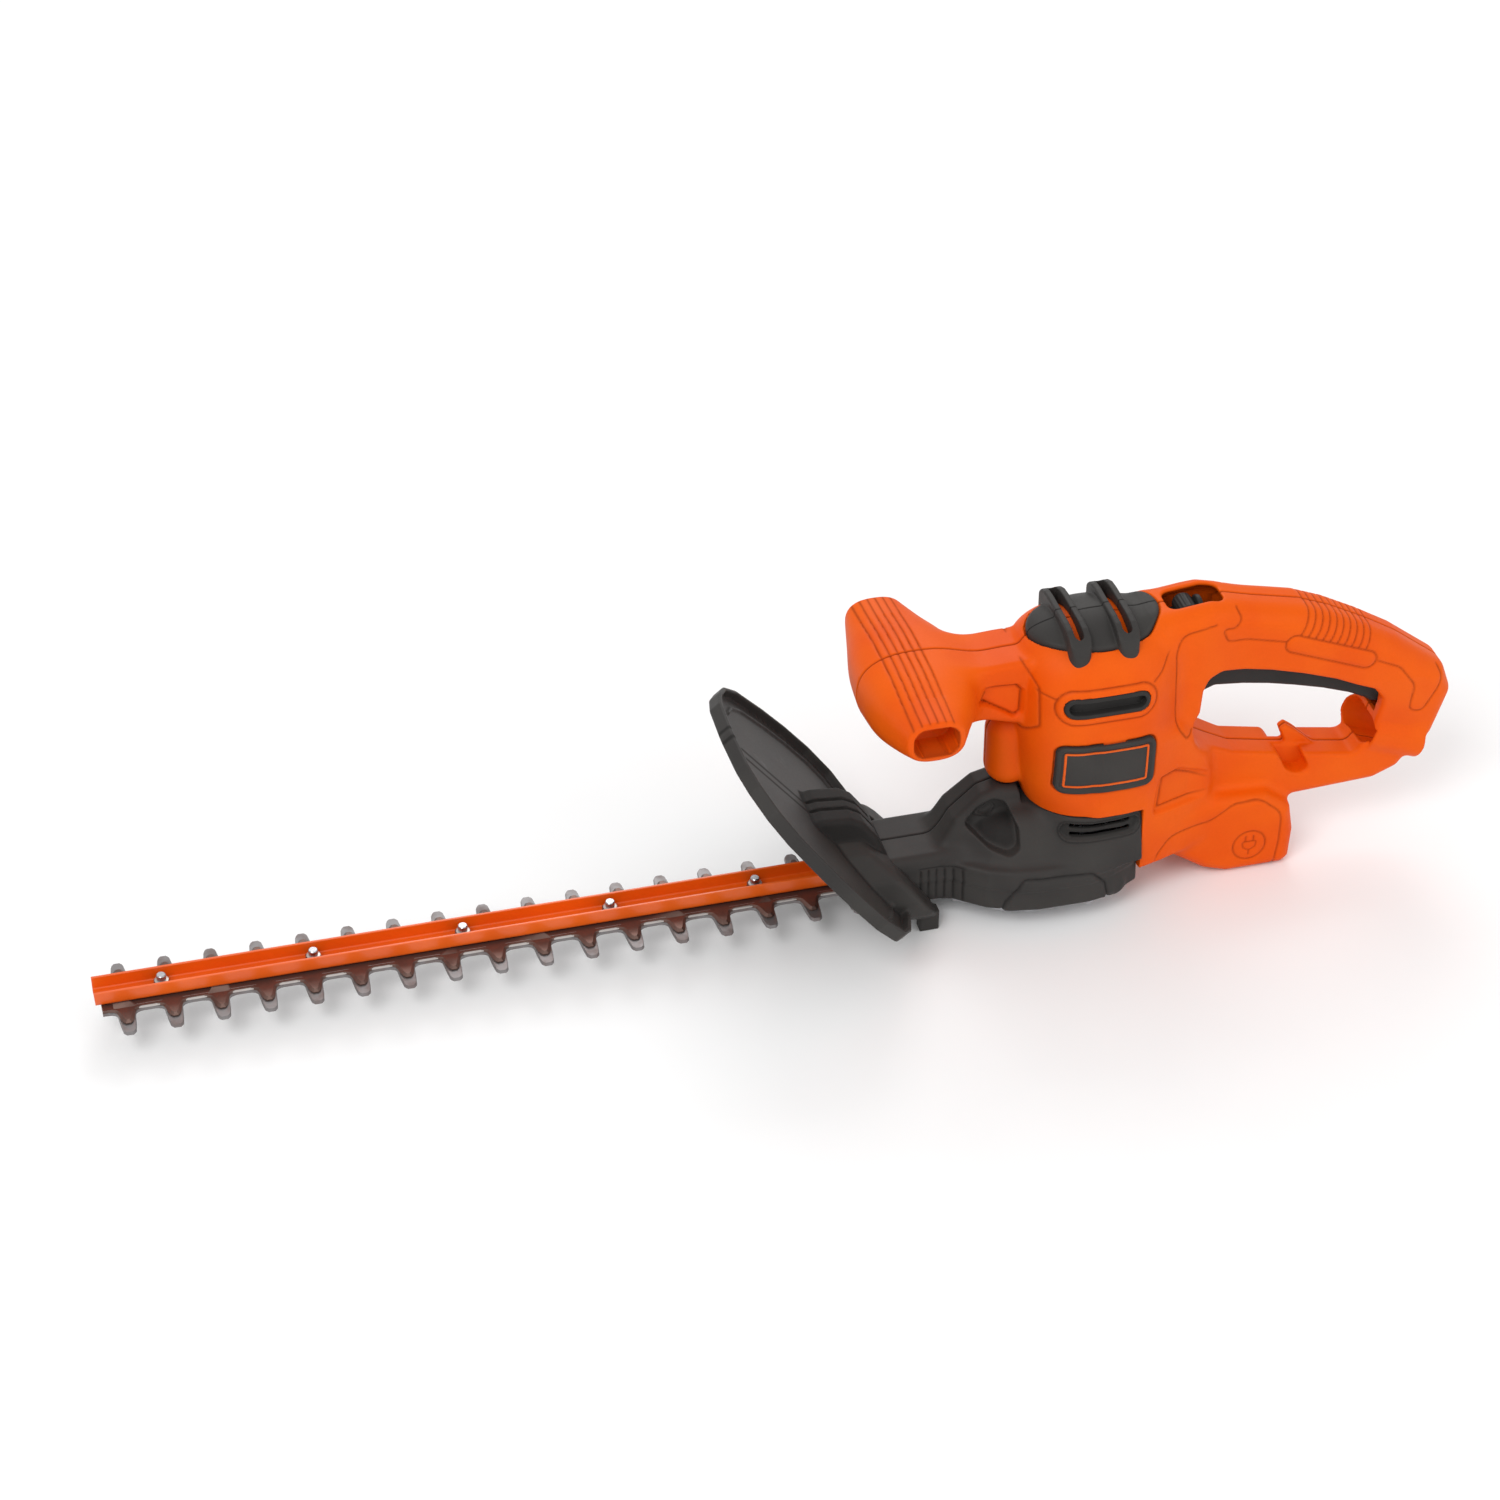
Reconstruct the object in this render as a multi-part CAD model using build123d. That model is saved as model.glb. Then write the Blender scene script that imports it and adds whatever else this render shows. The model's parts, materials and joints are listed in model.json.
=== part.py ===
from build123d import *
import math
import os

# ---------------------------------------------------------------------------
# Electric hedge trimmer, single-sided grip frame: +X to the rear handle,
# +Z up, Y = 0 on the parting plane.  The origin is on the resting plane,
# directly under the vertical motor axis.  All sizes in millimetres.
# ---------------------------------------------------------------------------

os.makedirs("parts", exist_ok=True)

GAP = 0.3                     # clearance between parts that do not touch
FIT = 0.05                    # radial clearance of a running fit
PARTING = 0.1                 # half the line between the housing halves

# Cutting unit
YOKE_JOINT_X = -70.0          # where each strip ends and its yoke begins
BLADE_TIP_X = -538.0
FIRST_TOOTH_X = -526.0
TOOTH_PITCH = 24.5
TOOTH_COUNT = 17
SPINE_HALF = 11.0
LOWER_REACH = 29.0
UPPER_REACH = 22.3
BLADE_THICK = 1.9
LOWER_BLADE_Z = 19.0
UPPER_BLADE_Z = 21.1
STROKE = 4.0                  # each blade travels this far either way
BAR_FRONT_X = -541.0
BAR_REAR_X = -71.0
BAR_HALF = 7.5
BAR_Z = 23.4
BAR_TOP_Z = 32.2
BAR_WALL = 1.5
BOLT_FIRST_X = -505.4
BOLT_PITCH = 80.0
BOLT_COUNT = 5
BOLT_R = 2.5
SLEEVE_R = 3.3

# Drive
MODULE = 1.25
GEAR_TEETH = 48
PINION_TEETH = 8
CENTRES = MODULE * (GEAR_TEETH + PINION_TEETH) / 2
GEAR_X = -CENTRES
CAM_R = 10.0
PIN_R = 3.0
BUSH_R = 4.5
GEAR_Z = 26.0
GEAR_FACE = 6.0
SHAFT_R = 3.0

# Motor
CORE_Z = 74.0
CORE_H = 40.0
CORE_R = 16.0
STATOR_R = 28.5
FAN_Z = 48.0

# Housing
RING_Z = 65.0                 # joint between gear case and housing
HANDLE_HALF = 17.0
POD_HALF = 24.0

# Guard: a flat shield that leans forward
LEAN = 39.0
GUARD_PLATE = 3.0
GUARD_DISTANCE = 322.0        # from the first tooth, square to the shield
GUARD_DATUM = (-528.0, 20.0)


def side_face(points):
    """Closed outline in the XZ plane from (x, z) corners."""
    return make_face(Polyline(*[(x, 0, z) for x, z in points], close=True))


def side_prism(points, half_width, y=0.0):
    """Straight-sided block: an XZ outline carried half_width to each side."""
    face = side_face(points).moved(Location((0, y, 0)))
    return extrude(face, amount=half_width, dir=(0, 1, 0), both=True)


def soft_prism(points, half_width, corner, edge):
    """Side prism with rounded outline corners and rounded long edges."""
    face = side_face(points)
    face = fillet(face.vertices(), corner)
    block = extrude(face, amount=half_width, dir=(0, 1, 0), both=True)
    rims = block.faces().filter_by(Axis.Y).edges()
    return fillet(rims, edge)


def plan_prism(points, low, high):
    """Block with the same plan outline (x, y) from low to high."""
    face = make_face(Polyline(*[(x, y, low) for x, y in points], close=True))
    return extrude(face, amount=high - low, dir=(0, 0, 1))


def both_sides(points):
    """Mirror an open half outline (x, y) in the XZ plane and close it."""
    return points + [(x, -y) for x, y in reversed(points) if abs(y) > 1e-6]


def disc(x, y, low, high, radius):
    """Upright cylinder between two heights."""
    height = high - low
    return Pos(x, y, (low + high) / 2) * Cylinder(radius, height)


def ring(x, y, low, high, outer, inner):
    """Upright tube between two heights."""
    return disc(x, y, low, high, outer) - disc(x, y, low - 1, high + 1, inner)


def cross_pin(x, z, radius, half_width, y=0.0):
    """Cylinder lying along Y."""
    return Pos(x, y, z) * Rot(90, 0, 0) * Cylinder(radius, 2 * half_width)


def block(x, y, z):
    """Box from three (low, high) pairs."""
    size = [high - low for low, high in (x, y, z)]
    middle = [(high + low) / 2 for low, high in (x, y, z)]
    return Pos(*middle) * Box(*size)


def left_of(shape):
    """The half on the operator's left, -Y."""
    return shape & block((-700, 300), (-200, -PARTING), (-50, 300))


def right_of(shape):
    """The half on the operator's right, +Y."""
    return shape & block((-700, 300), (PARTING, 200), (-50, 300))


def save(shape, node):
    """Write one node."""
    solids = shape.solids()
    export_step(Compound(solids), f"parts/{node}.step")


# ------------------------------ cutting blades ------------------------------

def tooth_outline(reach, root_half, mid_half, tip_half):
    """Half tooth from its root to its tip as (offset, distance from centre)."""
    return [
        (-root_half - 1.6, SPINE_HALF),
        (-root_half, SPINE_HALF + 2.4),
        (-mid_half, SPINE_HALF + 0.62 * (reach - SPINE_HALF)),
        (-tip_half, reach - 1.2),
        (-tip_half + 1.2, reach),
    ]


def blade_edge(half_tooth):
    """One toothed edge, front to rear, as (x, y) with y positive."""
    points = [(BLADE_TIP_X, SPINE_HALF)]
    for index in range(TOOTH_COUNT):
        centre = FIRST_TOOTH_X + index * TOOTH_PITCH
        points += [(centre + dx, y) for dx, y in half_tooth]
        points += [(centre - dx, y) for dx, y in reversed(half_tooth)]
    return points


def blade(base, half_tooth):
    """Toothed strip with its bolt slots."""
    edge = blade_edge(half_tooth) + [(YOKE_JOINT_X, SPINE_HALF)]
    strip = plan_prism(both_sides(edge), base, base + BLADE_THICK)
    slot_length = 2 * (SLEEVE_R + STROKE) + 1.0
    for index in range(BOLT_COUNT):
        centre = BOLT_FIRST_X + index * BOLT_PITCH
        slot = SlotOverall(slot_length, 2 * SLEEVE_R + 0.4)
        strip -= Pos(centre, 0, base - 1) * extrude(slot, amount=BLADE_THICK + 2)
    return strip


def yoke(base):
    """Open frame, welded to the strip's end, in which an eccentric turns."""
    half_x = CAM_R + 2 * STROKE + 1.0
    half_y = CAM_R + STROKE + 1.0
    wall = 4.0
    head = GEAR_X - half_x - wall
    tail = GEAR_X + half_x + wall
    edge = [
        (YOKE_JOINT_X, SPINE_HALF),
        (head - 8.0, SPINE_HALF),
        (head, half_y + wall),
        (tail, half_y + wall),
    ]
    plate = plan_prism(both_sides(edge), base, base + BLADE_THICK)
    opening = RectangleRounded(2 * half_x, 2 * half_y, 3.0)
    plate -= Pos(GEAR_X, 0, base - 1) * extrude(opening, amount=BLADE_THICK + 2)
    return plate


save(blade(LOWER_BLADE_Z, tooth_outline(LOWER_REACH, 4.6, 4.0, 2.6)), "lower_blade")
save(blade(UPPER_BLADE_Z, tooth_outline(UPPER_REACH, 4.6, 3.2, 2.1)), "upper_blade")
save(yoke(LOWER_BLADE_Z), "lower_yoke")
save(yoke(UPPER_BLADE_Z), "upper_yoke")

bar_outer = block((BAR_FRONT_X, BAR_REAR_X), (-BAR_HALF, BAR_HALF), (BAR_Z, BAR_TOP_Z))
bar_inner = block(
    (BAR_FRONT_X - 1, BAR_REAR_X + 1),
    (BAR_WALL - BAR_HALF, BAR_HALF - BAR_WALL),
    (BAR_Z + BAR_WALL, BAR_TOP_Z + 1),
)
blade_bar = bar_outer - bar_inner

bolt_xs = [BOLT_FIRST_X + index * BOLT_PITCH for index in range(BOLT_COUNT)]
bar_floor = BAR_Z + BAR_WALL
head_z = LOWER_BLADE_Z - 0.3
washer_h = 0.8
bolts, sleeves, nuts, washers = [], [], [], []
for x in bolt_xs:
    blade_bar -= disc(x, 0, BAR_Z - 1, bar_floor + 1, BOLT_R + FIT)
    head = disc(x, 0, head_z - washer_h - 2.4, head_z - washer_h, 4.6)
    head = fillet(head.edges().sort_by(Axis.Z)[0], 1.0)
    shank = disc(x, 0, head_z - washer_h - 0.5, BAR_TOP_Z, BOLT_R)
    bolts.append(head + chamfer(shank.edges().sort_by(Axis.Z)[-1], 0.4))
    sleeves.append(ring(x, 0, head_z, BAR_Z, SLEEVE_R, BOLT_R + FIT))
    washers.append(ring(x, 0, head_z - washer_h, head_z, 5.2, BOLT_R + FIT))
    nut = Pos(x, 0, bar_floor) * extrude(RegularPolygon(3.9, 6), amount=3.4)
    nut += disc(x, 0, bar_floor, bar_floor + 1.0, 4.4)
    nuts.append(nut - disc(x, 0, bar_floor - 1, bar_floor + 5, BOLT_R + FIT))
save(Compound(bolts), "blade_bolts")
save(Compound(sleeves), "blade_spacers")
save(Compound(nuts), "blade_nuts")
save(Compound(washers), "blade_washers")

# Two pan-head screws hold the bar down on the floor of the gear case nose.
BAR_SCREW_XS = (-100.0, -82.0)
bar_screws = []
for x in BAR_SCREW_XS:
    blade_bar -= disc(x, 0, BAR_Z - 1, bar_floor + 1, 2.1 + FIT)
    screw_head = disc(x, 0, bar_floor, bar_floor + 2.2, 4.0)
    bar_screws.append(screw_head + disc(x, 0, BAR_Z, bar_floor + 0.5, 2.1))
save(blade_bar, "blade_bar")
save(Compound(bar_screws), "bar_screws")

# -------------------------------- hand guard --------------------------------

lean = math.radians(LEAN)


def on_shield(y, along, off=0.0):
    """Point on the shield: y across, along up its slope, off towards the user."""
    distance = GUARD_DISTANCE + off
    x = distance * math.cos(lean) - along * math.sin(lean) + GUARD_DATUM[0]
    z = distance * math.sin(lean) + along * math.cos(lean) + GUARD_DATUM[1]
    return (x, y, z)


SHIELD_PLANE = Plane(
    origin=on_shield(0, 0),
    x_dir=(0, 1, 0),
    z_dir=(math.cos(lean), 0, math.sin(lean)),
)
SHIELD_HALF = [
    (28, -122), (42, -127), (57, -137), (67, -151), (75, -178), (79, -200),
    (79.5, -222), (74, -241), (63, -251), (46, -259), (30, -262),
]


def shield_sheet(inset, low, high):
    """Shield outline pulled in by inset, from low to high off the plane."""
    edge = [(0, -120.0)] + [(y, along) for y, along in SHIELD_HALF] + [(0, -262.0)]
    full = edge + [(-y, along) for y, along in reversed(edge[1:-1])]
    sheet = make_face(Polyline(*full, close=True))
    sheet = fillet(sheet.vertices(), 6)
    sheet = offset(sheet, amount=-inset) if inset else sheet
    placed = SHIELD_PLANE * Pos(0, 0, low) * sheet
    return extrude(placed, amount=high - low)



# The tray: a floor with a raised rim on the operator's side.
guard = shield_sheet(0, -GUARD_PLATE, 5.0) - shield_sheet(3.0, 0, 6.0)

# The collar behind the tray: a bridge over the nose of the gear case, and two arms.
COLLAR_SIDE = [
    (-162, 72), (-151, 74.5), (-136, 72.8), (-129, 68.5), (-121.5, 58), (-115, 44),
    (-92, 21), (-84, 8), (-104, 8),
]
COLLAR_FRONT = [
    (22, 5), (30, 10), (40, 20), (40, 30), (36, 42), (24, 56), (16, 60), (16, 71),
    (13, 74.5),
]
collar = side_prism(COLLAR_SIDE, 45)
collar_mask = make_face(Polyline(
    *[(-60, y, z) for y, z in COLLAR_FRONT],
    *[(-60, -y, z) for y, z in reversed(COLLAR_FRONT)],
    close=True,
))
collar &= extrude(collar_mask, amount=120, dir=(-1, 0, 0))
for y in (-3.5, 3.5):
    collar -= block((-170, -134), (y - 1.1, y + 1.1), (71, 90))
guard += collar

NOSE_HALF = 21.0
NOSE_TOP = 43.5
CASE_BOTTOM = 14.0
nose_room = side_prism([(-150, CASE_BOTTOM - GAP), (-150, NOSE_TOP + GAP),
                        (-70, NOSE_TOP + GAP), (-70, CASE_BOTTOM - GAP)],
                       NOSE_HALF + GAP)
behind_tray = extrude(SHIELD_PLANE * Rectangle(400, 700), amount=200)
guard -= nose_room & behind_tray
guard -= block((-200, -60), (-13, 13), (15.5, 35))
for side in (-1, 1):
    guard += block((-101, -90), (side * 26 - 3.5, side * 26 + 3.5), (0, 12))
guard_screws = []
for side in (-1, 1):
    y = side * 17.0
    guard -= disc(-97, y, 5, 14, 2.1)
    guard_screws.append(disc(-97, y, 5.8, 8.0 - FIT, 3.6) + disc(-97, y, 7, 22, 1.6))
save(guard, "hand_guard")
save(Compound(guard_screws), "guard_screws")

# --------------------------------- gear case --------------------------------

REAR_FACE_X = 20.0            # where the case ends and the housing goes on
CASE_PLAN = [
    (-135, 0), (-135, NOSE_HALF), (-86, NOSE_HALF), (-80, 25), (-75, 30), (-66, 37),
    (-54, 42), (-40, 45), (-10, 45), (4, 42), (14, 37), (REAR_FACE_X, 33),
    (REAR_FACE_X, 0),
]


def inset_plan(points, wall):
    """Half plan outline pulled in by about one wall all round."""
    return [(min(max(x, points[0][0] + wall), REAR_FACE_X - wall), max(y - wall, 0))
            for x, y in points]


case_body = plan_prism(both_sides(CASE_PLAN), CASE_BOTTOM, 38.0)
case_body = fillet(case_body.faces().sort_by(Axis.Z)[-1].edges(), 4.0)
case_body = chamfer(case_body.faces().sort_by(Axis.Z)[0].edges(), 2.0)
nose = block((-135, -80), (-NOSE_HALF, NOSE_HALF), (CASE_BOTTOM, NOSE_TOP))
nose = fillet(nose.edges().filter_by(Axis.X).sort_by(Axis.Z)[-2:], 5.0)
hump = soft_prism([(-88, 30), (-83, 50), (-76, 61), (-61, 73.6), (-51, 75.5),
                   (-30, 72), (-20, 66), (-20, 30)], 15.0, 3.0, 4.0)
shoulder = soft_prism([(-84, 30), (-80, 42), (-66, 56), (-52, 62), (10, 62),
                       (REAR_FACE_X, 56), (REAR_FACE_X, 30)], 31.0, 3.0, 6.0)
collar_ring = loft([
    Pos(-2, 0, 34) * RectangleRounded(88, 86, 38),
    Pos(0, 0, RING_Z) * RectangleRounded(73, 74, 34),
])
case_outer = case_body + nose + hump + shoulder + collar_ring
case_outer &= block((-140, REAR_FACE_X), (-60, 60), (0, 90))
case_outer &= extrude(SHIELD_PLANE * Pos(0, 0, GAP) * Rectangle(400, 700), amount=260)

BARREL_SECTIONS = [           # height, centre x, length, width, corner radius
    (RING_Z, 0.0, 73.0, 74.0, 34.0),
    (92.0, -1.0, 85.0, 79.0, 33.0),
    (136.0, -2.0, 88.0, 78.0, 33.0),
    (158.0, -2.0, 74.0, 62.0, 27.0),
    (169.0, -2.0, 42.0, 34.0, 15.0),
]


def barrel(grow):
    """Motor barrel, grown or shrunk by the same amount all round."""
    sections = []
    for height, centre, length, width, corner in BARREL_SECTIONS:
        outline = RectangleRounded(length + 2 * grow, width + 2 * grow, corner + grow)
        sections.append(Pos(centre, 0, height) * outline)
    return loft(sections)


barrel_outer = barrel(0.0)
case_outer -= block((-80, 60), (-60, 60), (RING_Z, 120)) & barrel(GAP)
case_outer -= block((-52, 40), (-60, 60), (RING_Z, 90))

# Rounded rib down the front of the barrel; it stands over the case's hump.
LOBE_X = -44.0
LOBE_R = 13.0
LOBE_Z = 82.0


def front_lobe(grow):
    """Upright rib with a round lower end."""
    post = disc(LOBE_X, 0, LOBE_Z, 118, LOBE_R + grow)
    return post + Pos(LOBE_X, 0, LOBE_Z) * Sphere(LOBE_R + grow)


case_outer -= front_lobe(GAP)

case_room = plan_prism(both_sides(inset_plan(CASE_PLAN, 3.0)), 17.0, 35.5)
case_room += block((-78, 17), (-28, 28), (30, 52))
case_room += disc(0, 0, 30, 80, 32.5)
case_room -= block((-140, -68.5), (-40, 40), (0, 90))
nose_slot = block((-140, -68), (-BAR_HALF - GAP, BAR_HALF + GAP), (16.4, 34.5))
spine_slot = block((-140, -68), (-13, 13), (16.4, BAR_Z))
case_shell = case_outer - case_room - nose_slot - spine_slot
case_shell += block((-108, -74), (-7.4, 7.4), (BAR_Z + 8.9, 36))

GEAR_PLATE_Z = 34.0
COVER_TOP = CASE_BOTTOM - GAP
CASE_FLOOR_TOP = 17.0
HATCH_HALF = [(-66, 0), (-62, 21), (-14, 21), (-5, 16), (-5, 0)]
case_shell -= plan_prism(both_sides(HATCH_HALF), CASE_BOTTOM - 1, CASE_FLOOR_TOP + 0.5)
for side in (-1, 1):
    case_shell -= disc(-97, side * 17, 10, 24, 1.6 + FIT)
CASE_SCREWS = [(-60, 28), (-60, -28), (-8, 37), (-8, -37)]
for x, y in CASE_SCREWS:
    case_shell += disc(x, y, CASE_FLOOR_TOP - 1, GEAR_PLATE_Z - GAP, 4.5)
    case_shell -= disc(x, y, 10, 30, 1.6 + FIT)

# A vent with two slots on each side of the case.
for side in (-1, 1):
    vent = block((-2, 17), (side * 40 - 8, side * 40 + 8), (45.5, 49.0))
    vent += block((-2, 17), (side * 40 - 8, side * 40 + 8), (51.0, 54.5))
    case_shell -= vent
save(left_of(case_shell), "gear_case_left")
save(right_of(case_shell), "gear_case_right")

# The cover carries the foot that stands under the motor.
REST_FOOT = ((-12, 10), (-14, 14), (0, 10))
cover_half = [(-80, 0), (-80, 20), (-70, 26), (-56, 36), (-40, 40), (-12, 40),
              (8, 34), (14, 28), (14, 0)]
cover = plan_prism(both_sides(cover_half), 9.5, COVER_TOP)
cover = fillet(cover.faces().sort_by(Axis.Z)[0].edges(), 1.5)
cover += block(*REST_FOOT)
hatch_plug = [(x + (1 if x < -50 else -1), max(y - 0.5, 0)) for x, y in HATCH_HALF]
cover += plan_prism(both_sides(hatch_plug), COVER_TOP - 0.5, CASE_FLOOR_TOP - 0.3)
cover_screws = []
for x, y in CASE_SCREWS:
    cover -= disc(x, y, 5, 20, 1.6 + FIT)
    cover -= disc(x, y, 8, 11.4, 3.6)
    cover_screws.append(disc(x, y, 9.6, 11.4, 3.3) + disc(x, y, 11, 28, 1.6))

# ---------------------------- gears and eccentrics ---------------------------

def gear_face(teeth, addendum, dedendum, tip_share, root_share, turn=0.0):
    """Spur gear outline with straight-flanked teeth."""
    pitch_r = MODULE * teeth / 2
    outer = pitch_r + addendum * MODULE
    inner = pitch_r - dedendum * MODULE
    step = 2 * math.pi / teeth
    points = []
    for index in range(teeth):
        middle = index * step + turn
        for share, radius in ((-root_share, inner), (-tip_share, outer),
                              (tip_share, outer), (root_share, inner)):
            angle = middle + share * step
            points.append((radius * math.cos(angle), radius * math.sin(angle)))
    return make_face(Polyline(*points, close=True))


drive_gear = extrude(gear_face(GEAR_TEETH, 0.8, 1.15, 0.12, 0.30), amount=GEAR_FACE)
drive_gear = Pos(GEAR_X, 0, GEAR_Z) * drive_gear
for index in range(6):
    angle = math.radians(60 * index + 30)
    hole_x = GEAR_X + 19.5 * math.cos(angle)
    drive_gear -= disc(hole_x, 19.5 * math.sin(angle), 20, 40, 4.2)
drive_gear -= ring(GEAR_X, 0, GEAR_Z + 4.5, 40, 26.5, 12.0)
drive_gear -= disc(GEAR_X, 0, 20, 40, BUSH_R)
save(drive_gear, "drive_gear")

cam_split = (LOWER_BLADE_Z + BLADE_THICK + UPPER_BLADE_Z) / 2
cams = disc(GEAR_X, STROKE, LOWER_BLADE_Z - 0.2, cam_split, CAM_R)
cams += disc(GEAR_X, -STROKE, cam_split, BAR_Z - 0.2, CAM_R)
cams += disc(GEAR_X, 0, BAR_Z - 0.5, GEAR_Z, 12.0)
cams -= disc(GEAR_X, 0, 10, 40, BUSH_R)
save(cams, "eccentric_cams")
bush_low = LOWER_BLADE_Z - 0.2
bush_high = GEAR_Z + GEAR_FACE
save(ring(GEAR_X, 0, bush_low, bush_high, BUSH_R, PIN_R + FIT), "gear_bush")
gear_pin = disc(GEAR_X, 0, 12.0, GEAR_PLATE_Z + 3.0, PIN_R)
gear_pin = chamfer(gear_pin.edges(), 0.4)
save(gear_pin, "gear_pin")
thrust = ring(GEAR_X, 0, 17.6, 18.5, 7.5, PIN_R + FIT)
thrust += ring(GEAR_X, 0, bush_high + 0.3, bush_high + 1.3, 7.5, PIN_R + FIT)
save(thrust, "thrust_washers")
cover -= disc(GEAR_X, 0, 12.0, 20, PIN_R + FIT)
save(cover, "gear_case_cover")
save(Compound(cover_screws), "cover_screws")

plate_half = [(-67, 0), (-67, 14), (-50, 26), (-20, 28), (12, 26), (15, 14), (15, 0)]
gear_plate = plan_prism(both_sides(plate_half), GEAR_PLATE_Z, GEAR_PLATE_Z + 3.0)
gear_plate += disc(0, 0, GEAR_PLATE_Z, GEAR_PLATE_Z + 9.0, 13.5)
gear_plate -= disc(GEAR_X, 0, 20, 60, PIN_R)
gear_plate -= disc(0, 0, GEAR_PLATE_Z + 2.0, 60, 9.5)
gear_plate -= disc(0, 0, 20, 60, 5.0)
gear_plate &= block((-90, 17 - GAP), (-28 + GAP, 28 - GAP), (30, 60))
save(gear_plate, "gear_plate")

# ----------------------------------- motor ----------------------------------

pinion = extrude(gear_face(PINION_TEETH, 0.8, 1.1, 0.10, 0.30, math.pi / PINION_TEETH),
                 amount=GEAR_FACE + 1.0)
pinion = Pos(0, 0, GEAR_Z - 0.5) * pinion
PINION_BORE = 2.4
pinion -= disc(0, 0, 20, 40, PINION_BORE)
save(pinion, "motor_pinion")
SHAFT_TOP = 153.0
motor_shaft = disc(0, 0, GEAR_Z - 1.0, GEAR_PLATE_Z + 1.0, PINION_BORE)
motor_shaft += disc(0, 0, GEAR_PLATE_Z + 0.5, SHAFT_TOP, SHAFT_R)
save(motor_shaft, "motor_shaft")
low_bearing_z = GEAR_PLATE_Z + 2.0
lower_bearing = ring(0, 0, low_bearing_z, low_bearing_z + 6.0, 9.5, SHAFT_R + FIT)
save(fillet(lower_bearing.edges().group_by(Axis.Z)[-1][:1], 0.4), "lower_bearing")
upper_bearing = ring(0, 0, 145.0, 151.0, 9.5, SHAFT_R + FIT)
save(fillet(upper_bearing.edges().group_by(Axis.Z)[-1][:1], 0.4), "upper_bearing")

core = ring(0, 0, CORE_Z, CORE_Z + CORE_H, CORE_R, SHAFT_R)
for index in range(12):
    slot = Pos(14.0, 0, CORE_Z + CORE_H / 2) * Box(5.0, 2.0, CORE_H + 2)
    core -= Rot(0, 0, 30 * index) * slot
save(core, "armature_core")
ends = []
for low in (CORE_Z - 9.0, CORE_Z + CORE_H + 0.2):
    coil_end = ring(0, 0, low, low + 8.8, 14.0, SHAFT_R)
    ends.append(fillet(coil_end.edges().filter_by(GeomType.CIRCLE), 1.5))
save(Compound(ends), "armature_windings")
commutator = ring(0, 0, 125.0, 138.0, 9.0, SHAFT_R)
for index in range(12):
    commutator -= Rot(0, 0, 30 * index) * (Pos(9.0, 0, 131) * Box(1.6, 0.6, 20))
save(commutator, "commutator")

FAN_R = 28.0
fan = ring(0, 0, FAN_Z, FAN_Z + 2.0, FAN_R, SHAFT_R)
fan += ring(0, 0, FAN_Z, FAN_Z + 9.0, 7.0, SHAFT_R)
for index in range(12):
    vane = Pos(17.0, 0, FAN_Z + 5.5) * Rot(0, 0, 18) * Box(20.0, 1.6, 9.0)
    fan += Rot(0, 0, 30 * index) * vane
fan &= ring(0, 0, FAN_Z, FAN_Z + 12, FAN_R, SHAFT_R)
save(fan, "cooling_fan")

stator = disc(0, 0, CORE_Z, CORE_Z + CORE_H, STATOR_R)
stator -= disc(0, 0, CORE_Z - 1, CORE_Z + CORE_H + 1, 24.0)
for side in (-1, 1):
    pole = block((-13, 13), (side * 20.75 - 4.25, side * 20.75 + 4.25),
                 (CORE_Z, CORE_Z + CORE_H))
    stator += pole - disc(0, 0, CORE_Z - 1, CORE_Z + CORE_H + 1, CORE_R + 0.6)
save(stator, "stator_core")
coils = []
for side in (-1, 1):
    coil = ring(0, 0, CORE_Z - 6.0, CORE_Z + CORE_H + 6.0, 23.8, 17.5)
    window = block((-13.2, 13.2), (0 if side > 0 else -30, 30 if side > 0 else 0),
                   (CORE_Z - 0.2, CORE_Z + CORE_H + 0.2))
    sector = block((-19, 19), (side * 20 - 12, side * 20 + 12),
                   (CORE_Z - 10, CORE_Z + CORE_H + 10))
    coils.append((coil & sector) - window)
save(Compound(coils), "field_coils")

holders, brushes, springs = [], [], []
for side in (-1, 1):
    case_box = block((-5, 5), (min(side * 11, side * 27), max(side * 11, side * 27)),
                     (127, 137))
    bore = block((-3.1, 3.1), (min(side * 10, side * 25), max(side * 10, side * 25)),
                 (128.9, 135.1))
    holders.append(case_box - bore)
    brushes.append(block((-3.0, 3.0), (min(side * 9.1, side * 19),
                                       max(side * 9.1, side * 19)), (129, 135)))
    for turn in range(4):
        wire = Pos(0, side * (19.7 + 1.3 * turn), 132) * Rot(90, 0, 0) * Torus(2.2, 0.4)
        springs.append(wire)
save(Compound(holders), "brush_holders")
save(Compound(brushes), "carbon_brushes")
save(Compound(springs), "brush_springs")

# ---------------------------------- housing ---------------------------------

GRIP_TOP = [(25, 172), (60, 175.5), (72, 172.5), (86, 168.5), (116, 162.5),
            (132, 156), (150, 147), (200, 112)]
FRAME_REAR = [(205, 98), (196, 62), (189, 47), (181, 47), (166, 40.5)]
FRAME_LOWER = [(113, 38.5), (50, 38.5), (25, 60)]
FINGER_LOWER = [(57, 104), (60.5, 90), (67.5, 82), (80, 75.5), (106, 70),
                (150, 61.5), (154, 66), (152, 92)]
FINGER_UPPER = [(163, 92.5), (163.5, 97), (158, 104.6), (147, 109.6), (134, 116),
                (115, 123), (96, 128.8), (81, 132), (66, 134), (59.5, 130)]

frame = soft_prism(GRIP_TOP + FRAME_REAR + FRAME_LOWER, HANDLE_HALF, 2.5, 6.0)
finger_opening = side_prism(FINGER_LOWER + FINGER_UPPER, 40)
frame -= finger_opening

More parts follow.
